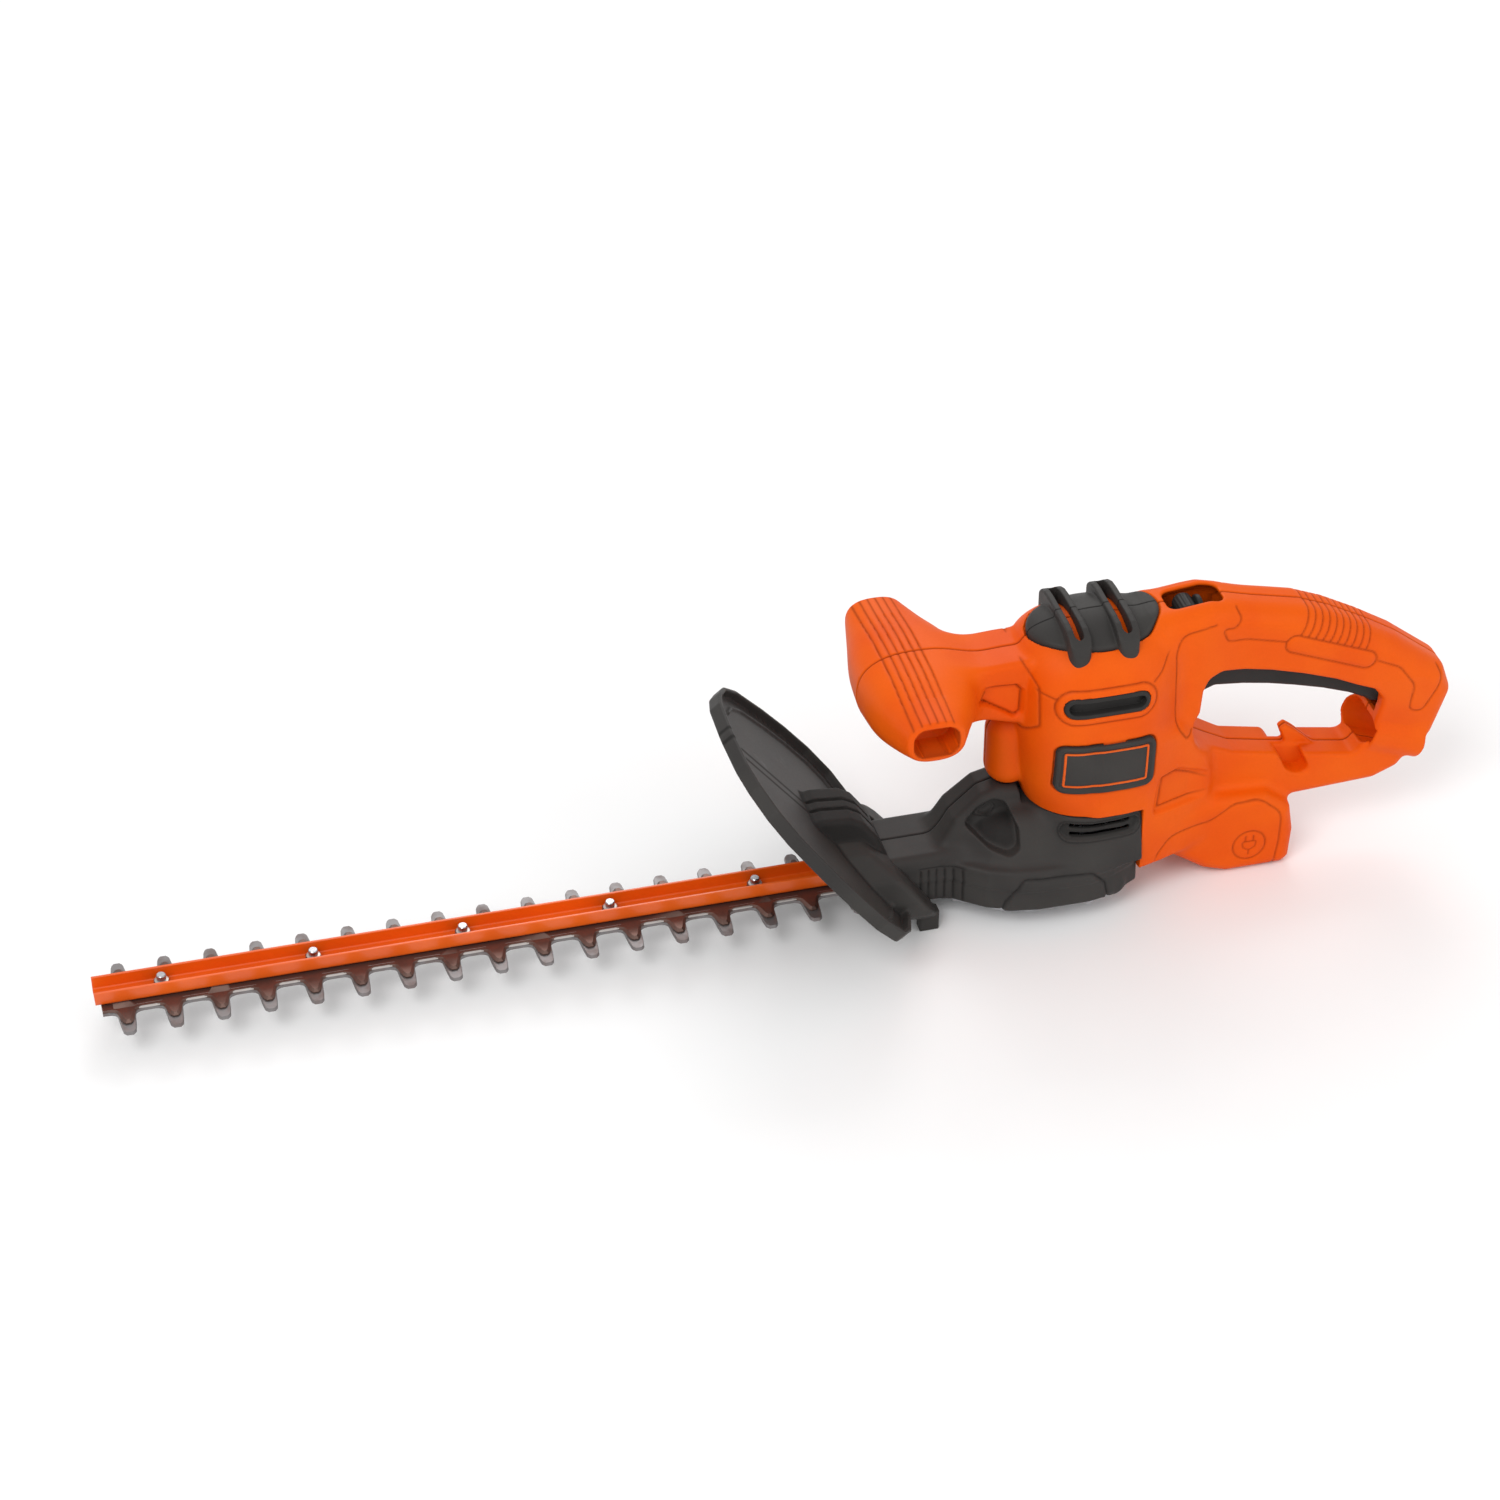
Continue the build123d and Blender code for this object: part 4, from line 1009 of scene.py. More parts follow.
        marks = marks + line(mouth + 2.6, 0.5) * inside(58.6 - np.abs(y), 0.4)
        sign = line(np.hypot(x - 88.9, z - 18.1) - 9.4)
        for stroke in self.plug_sign:
            sign = sign + line(stroke(x, z), 0.45)
        marks = marks + sign * inside(20 - np.abs(y), 1.0)
        marks = marks + line(self.neck_pocket(x, z) + 1.0, 0.6) * inside(12 - np.abs(y), 2.0)
        marks = marks + line(self.saddle_pocket(x, z) + 3.6, 0.6) * inside(22 - np.abs(y), 2.0) * (x > 20)
        marks = marks + line(np.abs(y) - PARTING, 0.42)
        return np.clip(marks, 0, 1)

    @staticmethod
    def _above_pill(x: Array, z: Array) -> Array:
        """Height above the pill boss's long axis."""
        return (x - 129) * 0.382 + (z - 135.6) * 0.924

    def _pill(self, x: Array, z: Array) -> Array:
        """The long boss on the side of the grip."""
        return stadium((x - 129) * 0.924 - (z - 135.6) * 0.382, self._above_pill(x, z), 23.0, 5.4)

    def shape(self, side: Side) -> Field:
        """One half of the shell.

        Args:
            side: Which half.

        Returns:
            Its distance field.
        """
        def distance(x: Array, y: Array, z: Array) -> Array:
            base = self.outer(x, y, z)
            across = np.abs(y)
            flank = inside(24 - across, 2.0)
            badge, lip = self.badge(x, z), self.vent(x, z)
            cap = (np.hypot((x + 2) / 36.4, y / 26.4) - 1) * 26
            recess = 3.0 * inside(self.saddle_pocket(x, z) + 0.8, 1.5) * inside(22 - across, 2) * (x > 20)
            recess = recess + 2.4 * inside(self.neck_pocket(x, z), 1.1) * inside(10 - across, 2)
            recess = recess + 1.3 * inside(badge) * flank + 1.9 * inside(cap, 0.5) * inside(150 - z, 1)
            raised = 0.45 * inside(self._pill(x, z) + 1.6) * inside(9 - across) * (x > 90)
            raised = raised + 0.5 * inside(lip - 3.0, 1.0) * flank
            face = base + recess - raised + LINE_DEPTH * self.grooves(x, y, z)
            shell = np.maximum(face, -(base + recess + WALL))
            collar = box2(x - 53.5, y, 15.4, 8.8, 5.0)
            window = np.maximum(collar, 158 - z)
            shell = smax(shell, -window, 1.6)
            shell = np.maximum(shell, -np.maximum(lip, 22 - across))
            shell = np.maximum(shell, -np.maximum(self.trigger_slot(x, z), across - 8.1))
            end = box2(x - self.grip_x(60.0), z - self.grip_z(60.0), 12.2, 8.9, 7.6)
            end_room = np.maximum(end, np.abs(across - 52.0) - 9.0)
            shell = np.maximum(np.minimum(shell, np.maximum(base, 40 - across)), -end_room)
            shell = np.maximum(shell, -np.maximum(box2(y, z - 21, 13.9, 9.9, 3.2), 100 - x))
            opening = np.maximum(x - self.rear_face - 3.0, box2(y, z - 45, 26, 16, 6.0))
            shell = np.maximum(shell, -opening)
            hollow = np.maximum(box2(x, y, 33, 33, 31), np.abs(z - 64) - 4)
            shell = np.maximum(shell, -hollow)
            shell = self._screws(shell, base, x, y, z, side)
            return np.maximum(shell, PARTING - y * side.value)
        return distance

    def _screws(self, shell: Array, base: Array, x: Array, y: Array, z: Array, side: Side) -> Array:
        """Add the screw posts and, on the right, the screws' wells."""
        for low, high in self.screws:
            reach = np.hypot(x - (low + high)[0] / 2, z - (low + high)[2] / 2)
            shell = np.minimum(shell, np.maximum(reach - 4.4, base + 0.4))
            shell = np.maximum(shell, -np.maximum(reach - 1.7, np.abs(y) - 12))
            if side is Side.RIGHT:
                shell = smax(shell, -np.maximum(reach - 3.6, 10 - y), 0.5)
        return shell

    def build(self, finishes: Finishes) -> None:
        """Cast both halves."""
        for side in Side:
            near, far = side.room(64)
            spots, quads = Mould((-136, near, -2), (210, far, 181), STEP).cast(self.shape(side))
            piece = mesh_piece(f"orange_housing_{side.word}", spots, quads, self.grooves)
            dress(piece, finishes.orange, "root", "housing_shell", f"housing_{side.word}")


# --------------------------------------- gear case ---------------------------------------

@dataclass
class GearCase:
    """The black gear case under the barrel."""

    nose_half: float = 21.0
    bottom: float = 14.0
    ring_z: float = 65.0
    rear: float = 20.0
    pit_depth: float = 6.5
    vent_x: float = -3.5
    vent_z: float = 57.2
    vent_rise: float = 0.03
    slots: tuple[float, float] = (-2.4, 2.4)

    def __post_init__(self) -> None:
        """Lay out the outlines."""
        half = [(-135, 21), (-88, 21), (-82, 24), (-76, 29), (-66, 36.5), (-54, 41.4), (-38, 44.2),
                (-10, 44.4), (4, 41.6), (14, 36.6), (24, 31)]
        self.plan = Outline(half + [(x, -y) for x, y in reversed(half)], 5)
        self.hump = Outline([(-92, 20), (-88, 42), (-84, 48), (-78, 58.5), (-63, 72), (-52, 75), (-30, 72),
                             (-10, 66), (-10, 20)], 5)
        self.tear = Outline([(-74, 56), (-66, 65.5), (-57, 69.5), (-50, 66.5), (-46, 57), (-46.6, 46.5),
                             (-52, 43.2), (-62, 46.5)], 5)
        self.tear_ridge = Outline([(-67, 58.5), (-57, 66), (-55, 61.5), (-59, 58)], 1.2)
        self.panel = Outline([(-60, 8), (-56.5, 20), (-46.8, 34.2), (-9.3, 33.4), (-1.2, 24.1), (2, 8)], 4)

    def outer(self, x: Array, y: Array, z: Array) -> Array:
        """The outside without its fine lines."""
        across = np.abs(y)
        lift = np.clip((z - self.bottom) / 24, 0, 1)
        skirt = slab(self.plan(x, y) + 1.2 * lift, np.abs(z - 26.2) - 12.2, 2.6)
        nose = np.maximum(slab(across - self.nose_half, np.abs(z - 28.8) - 14.8, 4.5), np.abs(x + 98) - 38)
        deck_top = 40 + 24 * np.clip((x + 88) / 26, 0, 1)**0.8
        deck = smax(self.plan(x, y) + 5 + 0.52 * (z - 36), z - deck_top, 10.0)
        deck = smax(deck, 30 - z, 2.0)
        hump = slab(self.hump(x, z), across - 15.5 + 0.10 * (z - 40), 4.2)
        ring = box2(x - 0.5, y, 36.5 + 0.20 * (66 - z), 37.2 + 0.16 * (66 - z), 33.0)
        ring = smax(smax(ring, z - self.ring_z, 0.8), 34 - z, 2)
        lobe = slab(np.hypot(x - 3.5, (z - 18.5) * 1.05) - 8.2, across - 40, 3.0)
        body = smin(skirt, nose, 5.0)
        body = smin(body, deck, 5.0)
        body = smin(body, hump, 5.0)
        body = smin(body, ring, 6.0)
        body = smin(body, lobe, 3.0)
        body = smax(body, z - 75.3, 1.5)
        body = np.maximum(body, x - self.rear)
        body = np.maximum(body, 12.5 - z)
        back = np.hypot(np.hypot(x + 45.5, y), np.maximum(z - 106, 0) + np.minimum(z - 85, 0)) - 13.2
        roof = np.maximum(z - 200, 65.0 - z)
        barrel = np.maximum(box2(x + 1.5, y, 40.2 + 0.1 * (z - 65), 38.6, 32.5), roof)
        return smax(smax(body, -back, 0.6), -barrel, 0.6)

    def grooves(self, x: Array, y: Array, z: Array) -> Array:
        """1 in the case's moulded lines, and partly inside the tear-shaped well and the vent's recess; the
        material paints shade along all of them.
        """
        across = np.abs(y)
        flank = inside(19 - across, 1.0)
        marks = line(across - PARTING, 0.42)
        marks = marks + line(self.panel(x, z), 0.6) * inside(34 - across, 1.5) * inside(z - 37, 0.6)
        nearest = nearest_line(x + 99, 4.4, 6)
        marks = marks + line(nearest) * flank * inside(z - 35.5, 0.6) * inside(16 - z, 0.6)
        marks = marks + line(z - 36.4, 0.4) * flank * inside(x + 76, 1.0) * inside(-x - 100, 1.0)
        marks = marks + line(self._vent(x, z) - 0.2, 0.5) * inside(28 - across, 1.0)
        # Painted shade fills the tear-shaped well and the vent's recess.
        marks = marks + 0.8 * inside(self.tear(x, z) + 1.5, 1.5) * inside(10 - across, 1.0)
        marks = marks + 0.7 * inside(self._vent(x, z) + 1.6, 0.6) * inside(28 - across, 1.0)
        return np.clip(marks, 0, 1)

    def _vent(self, x: Array, z: Array, half: float = 17.0, radius: float = 5.6) -> Array:
        """The round-ended recess under the barrel, or a slot in it."""
        run = x - self.vent_x
        return stadium(run, z - self.vent_z - self.vent_rise * run, half, radius)

    def shape(self, side: Side) -> Field:
        """One half of the case."""
        def distance(x: Array, y: Array, z: Array) -> Array:
            base = self.outer(x, y, z)
            across = np.abs(y)
            face = base + 0.5 * self.grooves(x, y, z)
            floor = self.pit_depth - 2.0 * line(self.tear_ridge(x, z), 1.0)
            well = np.maximum(np.maximum(self.tear(x, z), -(base + floor)), 8 - across)
            face = smax(face, -well, 1.0)
            pit = self.pit_depth * inside(self.tear(x, z) - 2.6, 1.0) * inside(5 - across, 1.0)
            face = face - 0.9 * inside(self.panel(x, z) + 1.0, 0.8) * inside(34 - across, 2)
            vent = self._vent(x, z)
            flank = inside(28 - across, 1.0)
            sunk = 1.3 * inside(vent + 1.0) * flank
            face = face - 0.9 * line(vent, 1.3) * flank + sunk
            shell = np.maximum(face, -(base + pit + sunk + WALL))
            for height in self.slots:
                slot = self._vent(x, z - height, 15.4, 1.25)
                shell = np.maximum(shell, -np.maximum(slot, 20 - across))
            bar_way = np.maximum(box2(y, z - 26, 8.0, 9.4, 1.0), np.abs(x + 105) - 40)
            shell = np.maximum(shell, -bar_way)
            blade_way = np.maximum(box2(y, z - 19.9, 13.2, 3.6, 0.5), np.abs(x + 110) - 45)
            shell = np.maximum(shell, -blade_way)
            shell = np.maximum(shell, -np.maximum(box2(x, y, 32.6, 32.6, 31), 58 - z))
            hatch = np.maximum(box2(x + 35, y, 31, 21, 5), np.abs(z - 14) - 4)
            shell = np.maximum(shell, -hatch)
            doorway = np.maximum(np.abs(x - self.rear) - 4, box2(y, z - 45, 26, 16, 6.0))
            shell = np.maximum(shell, -doorway)
            return np.maximum(shell, PARTING - y * side.value)
        return distance

    def build(self, finishes: Finishes) -> None:
        """Cast both halves."""
        for side in Side:
            near, far = side.room(49)
            spots, quads = Mould((-138, near, 9), (24, far, 79), CASE_STEP).cast(self.shape(side))
            piece = mesh_piece(f"black_case_{side.word}", spots, quads, self.grooves)
            dress(piece, finishes.black, "root", "case_shell", f"gear_case_{side.word}")


# --------------------------------------- hand guard --------------------------------------

@dataclass
class Guard:
    """The leaning shield with its tray, ridges and the collar behind it."""

    lean: float = 39.0
    distance: float = 322.0
    datum: tuple[float, float] = (-528.0, 20.0)
    slots: tuple[float, float] = (-4.2, 4.2)   # across the bridge

    def __post_init__(self) -> None:
        """Lay out the outlines."""
        half = [(28, -122), (42, -127), (57, -137), (67, -151), (75, -178), (79, -200), (79.5, -222),
                (74, -241), (63, -251), (46, -259), (30, -262)]
        ring = [(0, -120.0), *half, (0, -262.0), *[(-y, a) for y, a in reversed(half)]]
        self.shield = Outline(ring, 8)
        self.bridge = Outline([(-170, 71.5), (-151, 74.5), (-136, 72.8), (-129, 68.5), (-121.5, 58),
                               (-116.5, 46), (-116.5, 30), (-170, 30)], 4)
        self.arm_side = Outline([(-152, 64), (-133, 60.5), (-123, 51), (-115, 44), (-108, 36), (-98, 22),
                                 (-89, 8), (-106, 8)], 4)
        self.arm_front = Outline([(-22, 5), (-30, 9), (-39.5, 19), (-40, 29), (-36, 42), (-25, 55), (-14, 61),
                                  (14, 61), (25, 55), (36, 42), (40, 29), (39.5, 19), (30, 9), (22, 5)], 6)

    def shape(self, x: Array, y: Array, z: Array) -> Array:
        """Distance to the guard."""
        off, along = self._plane(x, z)
        across = np.abs(y)
        edge = self.shield(y, along)
        sheet = slab(edge, np.abs(off - 1.0) - 4.0, 1.2)
        tray = np.maximum(edge + 2.6, -off)
        guard = smax(sheet, -tray, 0.8)
        where = np.maximum(30 - across, along + 138)
        ridge = np.maximum(np.abs(edge + 11.5) - 0.9, np.maximum(np.abs(off) - 1.3, where))
        guard = smin(guard, ridge, 1.2)
        guard = smin(guard, np.maximum(self._collar(x, y, z), -off - 1), 2.0)
        room = np.maximum(np.abs(z - 28.65) - 15.2, across - 21.3)
        guard = np.maximum(guard, -np.maximum(room, -off))
        bar_way = np.maximum(box2(y, z - 24.4, 13.0, 9.6, 1.0), np.abs(x + 130) - 70)
        guard = np.maximum(guard, -bar_way)
        foot = np.maximum(box2(x + 95.5, across - 26, 5.5, 3.5, 1.0), np.abs(z - 6.2) - 6.2)
        guard = smin(guard, foot, 1.5)
        return np.maximum(guard, 0.02 - z)

    def _plane(self, x: Array, z: Array) -> tuple[Array, Array]:
        """Distance in front of the shield's sheet, and distance up along it."""
        cosine, sine = math.cos(math.radians(self.lean)), math.sin(math.radians(self.lean))
        dx, dz = x - self.datum[0], z - self.datum[1]
        return dx * cosine + dz * sine - self.distance, -dx * sine + dz * cosine

    def _collar(self, x: Array, y: Array, z: Array) -> Array:
        """The bridge over the case's nose and the two arms beside it."""
        bridge = slab(self.bridge(x, z), np.abs(y) - 16.0, 3.0)
        for middle in self.slots:
            groove = np.maximum(np.abs(y - middle) - 1.2, -(self.bridge(x, z) + 2.6))
            bridge = smax(bridge, -groove, 0.5)
        arms = smax(self.arm_side(x, z), self.arm_front(y, z), 4.0)
        return smin(bridge, arms, 1.2)

    def grooves(self, x: Array, y: Array, z: Array) -> Array:
        """1 in the lines round the collar and in the bridge's slots, where the material paints shade."""
        off = self._plane(x, z)[0]
        marks = line(self._collar(x, y, z) - 0.5, 0.8) * inside(off - 1.0, 0.5) * (off > -0.5)
        bridge = slab(self.bridge(x, z), np.abs(y) - 16.0, 3.0)
        marks = marks + line(bridge - 0.4, 0.7) * inside(30 - z, 1.0) * inside(20 - z, 1.0)
        for middle in self.slots:
            slot = inside(np.abs(y - middle) - 1.3, 0.3)
            marks = marks + slot * inside(-1.2 - self.bridge(x, z), 0.4)
        return np.clip(marks, 0, 1)

    def build(self, finishes: Finishes) -> None:
        """Cast the guard as one moulding."""
        spots, quads = Mould(*room_of("hand_guard", 3), STEP).cast(self.shape)
        piece = mesh_piece("leaning_guard", spots, quads, self.grooves)
        dress(piece, finishes.black, "root", "case_shell", "hand_guard")


# -------------------------------------- small mouldings ----------------------------------

@dataclass
class TopVent:
    """The black vent cap with two slotted fins, in two halves."""

    housing: Housing
    fins: tuple[float, float] = (-17.0, 9.5)
    top_z: float = 178.3

    def __post_init__(self) -> None:
        """Lay out the fins' outline across the tool."""
        self.fin = Outline([(-31, 140), (-31, self.top_z), (31, self.top_z), (31, 140)], 20)

    def shape(self, side: Side) -> Field:
        """One half of the cap."""
        def distance(x: Array, y: Array, z: Array) -> Array:
            base = self.housing.outer(x, y, z)
            oval = (np.hypot((x + 2) / 35.8, y / 25.8) - 1) * 26
            cap = smax(smax(base - 0.9, oval, 1.6), -(base + 1.8), 0.4)
            for middle in self.fins:
                plan = stadium(y, x - middle, 24.8, 6.1)
                rib = smax(self.fin(y, z), plan, 1.4)
                cap = smin(cap, np.maximum(rib, -(base + 1.2)), 1.2)
            for middle in self.fins:
                slot = stadium(y, x - middle, 22.4, 2.5)
                cap = smax(cap, -np.maximum(slot, 150 - z), 0.6)
            return np.maximum(cap, PARTING - y * side.value)
        return distance

    def build(self, finishes: Finishes) -> None:
        """Cast both halves."""
        for side in Side:
            near, far = side.room(34)
            spots, quads = Mould((-42, near, 148), (38, far, 180), FINE_STEP).cast(self.shape(side))
            # The parting line is marked so that the material paints shade along it.
            piece = mesh_piece(f"fin_cap_{side.word}", spots, quads,
                               lambda x, y, z: line(np.abs(y) - PARTING, 0.4))
            dress(piece, finishes.black, "root", "case_shell", f"vent_cap_{side.word}")


@dataclass
class FlankTrim:
    """What is let into the barrel's sides: the grille frame and the plain badge plate."""

    housing: Housing

    def vent(self, x: Array, y: Array, z: Array) -> Array:
        """The grille's rounded frame with a back plate."""
        base = self.housing.outer(x, y, z)
        hole = self.housing.vent(x, z) + 0.2
        ring = smax(smax(base - 0.9, hole, 1.0), -(base + 4.5), 0.4)
        ring = smax(ring, -np.maximum(hole + 2.5, -(base + 3.6)), 0.9)
        return np.maximum(ring, 24 - np.abs(y))

    def _edge(self, x: Array, z: Array) -> Array:
        """The badge plate's outline."""
        return box2(x - self.housing.badge_x, z - self.housing.badge_z, 27.1, 15.6, 5.3)

    def plate(self, x: Array, y: Array, z: Array) -> Array:
        """The badge plate with its raised rim."""
        base = self.housing.outer(x, y, z)
        edge = self._edge(x, z)
        face = base - 1.5 + 1.3 * inside(edge + 2.6, 0.9)
        plate = smax(smax(face, edge, 1.0), -(base + 1.2), 0.3)
        return np.maximum(plate, 24 - np.abs(y))

    def rule(self, x: Array, y: Array, z: Array) -> Array:
        """The raised line round the badge's field."""
        base = self.housing.outer(x, y, z)
        edge = self._edge(x, z)
        band = np.abs(edge + 4.6) - 0.6
        return np.maximum(smax(smax(base - 0.75, band, 0.3), -(base + 0.6), 0.2), 24 - np.abs(y))

    def build(self, finishes: Finishes) -> None:
        """Cast each piece and mirror it to the other side."""
        kinds = (
            ("grille_frame", self.vent, (130, 150), finishes.soft_black, "case_shell", "side_vent"),
            ("badge_field", self.plate, (82, 118), finishes.black, "case_shell", "badge_plate"),
            ("badge_rule", self.rule, (82, 118), finishes.bright_line, "housing_shell", None),
        )
        for name, shape, (low_z, high_z), finish, slot, node in kinds:
            spots, quads = Mould((-36, -43, low_z), (28, -24, high_z), FINE_STEP).cast(shape)
            for side in Side:
                turned = spots * (1, -side.value, 1)
                faces = quads if side is Side.LEFT else quads[:, ::-1]
                piece = mesh_piece(f"{name}_{side.word}", turned, faces)
                nodes = [f"{node}_{side.word}"] if node else []
                dress(piece, finish, "root", slot, *nodes)


@dataclass
class Controls:
    """What the hand works: the paddle trigger and the lock-off slider."""

    def __post_init__(self) -> None:
        """Lay out the paddle."""
        self.paddle = Outline([(55.5, 107), (58.5, 113.4), (68, 117.2), (84, 115.4), (99, 112.6),
                               (114, 108.8), (131, 103.8), (147, 97.8), (157, 92.6), (162.4, 87.8),
                               (166.4, 89), (167, 103.5),
                               (158, 108.5), (147, 113.5), (134, 119.8), (115, 126.8), (96, 132.2), (81, 135),
                               (68, 136), (60.5, 132)], 3)
        self.pivot = ((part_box("trigger_pin")[0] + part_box("trigger_pin")[1]) / 2) / MM

    def trigger(self, x: Array, y: Array, z: Array) -> Array:
        """The paddle with round long edges, its tower and its hinge bore."""
        paddle = slab(self.paddle(x, z), np.abs(y) - 7.5, 3.0)
        tower = np.maximum(box2(x - 98, y, 4, 4, 1), np.abs(z - 129.3) - 4.3)
        eye = np.maximum(np.hypot(x - self.pivot[0], z - self.pivot[2]) - 4.4, np.abs(y) - 7.5)
        whole = smin(smin(paddle, tower, 1.0), eye, 1.5)
        return np.maximum(whole, -(np.hypot(x - self.pivot[0], z - self.pivot[2]) - 1.85))

    @staticmethod
    def slider(x: Array, y: Array, z: Array) -> Array:
        """The thumb pad with its ribbed drum, its collar and the carrier under them."""
        across = np.abs(y)
        drum = slab(np.hypot(x - 50, z - 167) - 5.5, across - 7.0, 1.4)
        angle = np.arctan2(z - 167, x - 50)
        drum = drum + 0.3 * np.square(np.cos(8 * angle)) * inside(across - 5.4)
        collar = slab(np.hypot(y, z - 166) - 7.0, np.abs(x - 57.0) - 1.4, 0.8)
        plate = slab(box2(x - 53.2, y, 11.2, 7.0, 2), np.abs(z - 162.6) - 1.3, 0.5)
        stem = np.maximum(box2(x - 51.5, y, 8.5, 5.5, 1), np.abs(z - 157) - 5)
        return np.maximum(smin(smin(smin(drum, collar, 0.8), plate, 1.0), stem, 0.8), 152 - z)

    def build(self, finishes: Finishes) -> None:
        """Cast both."""
        for name, shape, node, body in (
            ("paddle_trigger", self.trigger, "trigger", "trigger"),
            ("thumb_slider", self.slider, "lock_off_slider", "lock_off"),
        ):
            spots, quads = Mould(*room_of(node, 2), FINE_STEP).cast(shape)
            dress(mesh_piece(name, spots, quads), finishes.soft_black, body, "control_plastic", node)


# -------------------------------------- cutting unit -------------------------------------

@dataclass
class CuttingUnit:
    """The two blades, the channel bar and its nuts."""

    first_x: float = -526.0
    pitch: float = 24.5
    teeth: int = 17
    spine_half: float = 10.9
    bolt_first: float = -505.4
    bolt_pitch: float = 80.0
    bolts: int = 5
    snug: float = 0.01            # closer than this counts as touching the spine

    def _tooth(self, name: str, half: Points, low: float, high: float, bevel: float) -> bpy.types.Object:
        """A pair of teeth, one to each side, with ground flanks.

        Args:
            name: The piece's name.
            half: (offset, reach) from the rear root round the tip to the front root.
            low: Underside.
            high: Top.
            bevel: How far the ground flank reaches in from the edge.

        Returns:
            The pair, centred on the origin.
        """
        spots, faces = [], []
        for side in (-1, 1):
            start = len(spots)
            count = len(half)
            middle = np.mean(half, axis=0)
            for u, v in half:
                spots.append((u * MM, side * v * MM, low * MM))
            for u, v in half:
                spots.append((u * MM, side * v * MM, (low + 0.35 * (high - low)) * MM))
            for u, v in half:
                inward = np.array([middle[0] - u, 0.45 * (middle[1] - v)])
                length = max(float(np.linalg.norm(inward)), 1e-6)
                moved = np.array([u, v]) + inward / length * min(bevel, length * 0.7)
                if v <= self.spine_half + self.snug:
                    moved[1] = v
                spots.append((moved[0] * MM, side * moved[1] * MM, high * MM))
            for level in (0, 1):
                for index in range(count):
                    a = start + level * count + index
                    b = start + level * count + (index + 1) % count
                    faces.append((a, b, b + count, a + count))
            faces.append(tuple(range(start, start + count)))
            faces.append(tuple(range(start + 2 * count, start + 3 * count)))
        return solid_piece(name, spots, faces, 25)

    @staticmethod
    def _scallop(root: float, base_half: float, neck: Sequence[tuple[float, float]],
                 tip: tuple[float, float], start: float) -> list[tuple[float, float]]:
        """Half outline of a tooth, from its rear root to its front root."""
        flank = [(-root, start)]
        for turn in range(1, 5):
            angle = math.radians(90 * turn / 4)
            flank.append((-root + (root - base_half) * math.sin(angle), start + 2.8 * (1 - math.cos(angle))))
        flank += [(-half, reach) for half, reach in neck]
        for turn in range(5):
            angle = math.radians(90 * turn / 4)
            flank.append((-tip[0] * (1 - 0.45 * math.sin(angle)), tip[1] - 1.4 * (1 - math.sin(angle))))
        return flank + [(-u, v) for u, v in reversed(flank)]

    def _spine(self, name: str, node: str) -> bpy.types.Object:
        """The blade's long strip with its bolt slots and rear yoke, taken from the CAD outline."""
        mesh = frame["nodes"][node].data.copy()
        piece = link(name, mesh)
        work = bmesh.new()
        work.from_mesh(mesh)
        bmesh.ops.remove_doubles(work, verts=work.verts, dist=1e-6)
        toothed = [v for v in work.verts if v.co.x < -0.11 and abs(v.co.y) > self.spine_half * MM]
        for vertex in toothed:
            vertex.co.y = math.copysign(self.spine_half * MM, vertex.co.y)
        bmesh.ops.remove_doubles(work, verts=work.verts, dist=1e-6)
        bmesh.ops.dissolve_degenerate(work, dist=1e-6, edges=work.edges)
        work.to_mesh(mesh)
        work.free()
        smooth(mesh, 30)
        return piece

    def build(self, finishes: Finishes) -> None:
        """Make the blades, the bar, the nuts and the ground edges."""
        start = self.spine_half
        lower = self._scallop(9.4, 4.7, [(4.5, 16.5), (4.1, 21.5), (3.4, 26.6)], (3.0, 28.9), start)
        upper = self._scallop(9.0, 4.9, [(4.6, 14.2), (3.4, 18.6)], (2.6, 22.2), start)
        for name, half, node, finish, bevel in (
            ("long_teeth", lower, "lower_blade", finishes.lower_steel, 0.5),
            ("short_teeth", upper, "upper_blade", finishes.upper_steel, 1.5),
        ):
            low, high = (corner.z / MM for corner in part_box(node))
            tooth = self._tooth(name, half, low, high, bevel)
            tree = RowTree(f"{name}_row", finish)
            teeth = tree.repeat(tooth, self.teeth, Vector((self.first_x * MM, 0, 0)),
                                Vector((self.pitch * MM, 0, 0)))
            smooth(teeth.data, 25)
            dress(teeth, finish, node, "blade_steel")
            spine = self._spine(f"{name}_spine", node)
            dress(spine, finish, node, "blade_steel", node)
        self._edge(finishes)
        self._bar(finishes)
        self._nuts(finishes)

    def _edge(self, finishes: Finishes) -> None:
        """The bright ground strip along the upper blade between its teeth."""
        low, high = (corner.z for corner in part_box("upper_blade"))
        wide, out = 7.0 * MM, 0.5 * MM
        spots, faces = [], []
        for side in (-1, 1):
            start = len(spots)
            y0 = side * (self.spine_half - 1.2) * MM
            y1 = side * self.spine_half * MM + side * out
            for x in (-wide, wide):
                spots += [(x, y0, low + 0.2 * MM), (x, y1, low + 0.2 * MM),
                          (x, y1, low + MM), (x, y0, high + 0.04 * MM)]
            ring = [(0, 1, 2, 3), (4, 5, 6, 7), (0, 1, 5, 4), (1, 2, 6, 5), (2, 3, 7, 6), (3, 0, 4, 7)]
            faces += [tuple(start + i for i in face) for face in ring]
        strip = solid_piece("ground_edge_strip", spots, faces)
        tree = RowTree("ground_edge_row", finishes.ground)
        step = self.pitch * MM
        strip = tree.repeat(strip, self.teeth - 1, Vector((self.first_x * MM + step / 2, 0, 0)),
                            Vector((step, 0, 0)))
        dress(strip, finishes.ground, "upper_blade", "blade_steel")

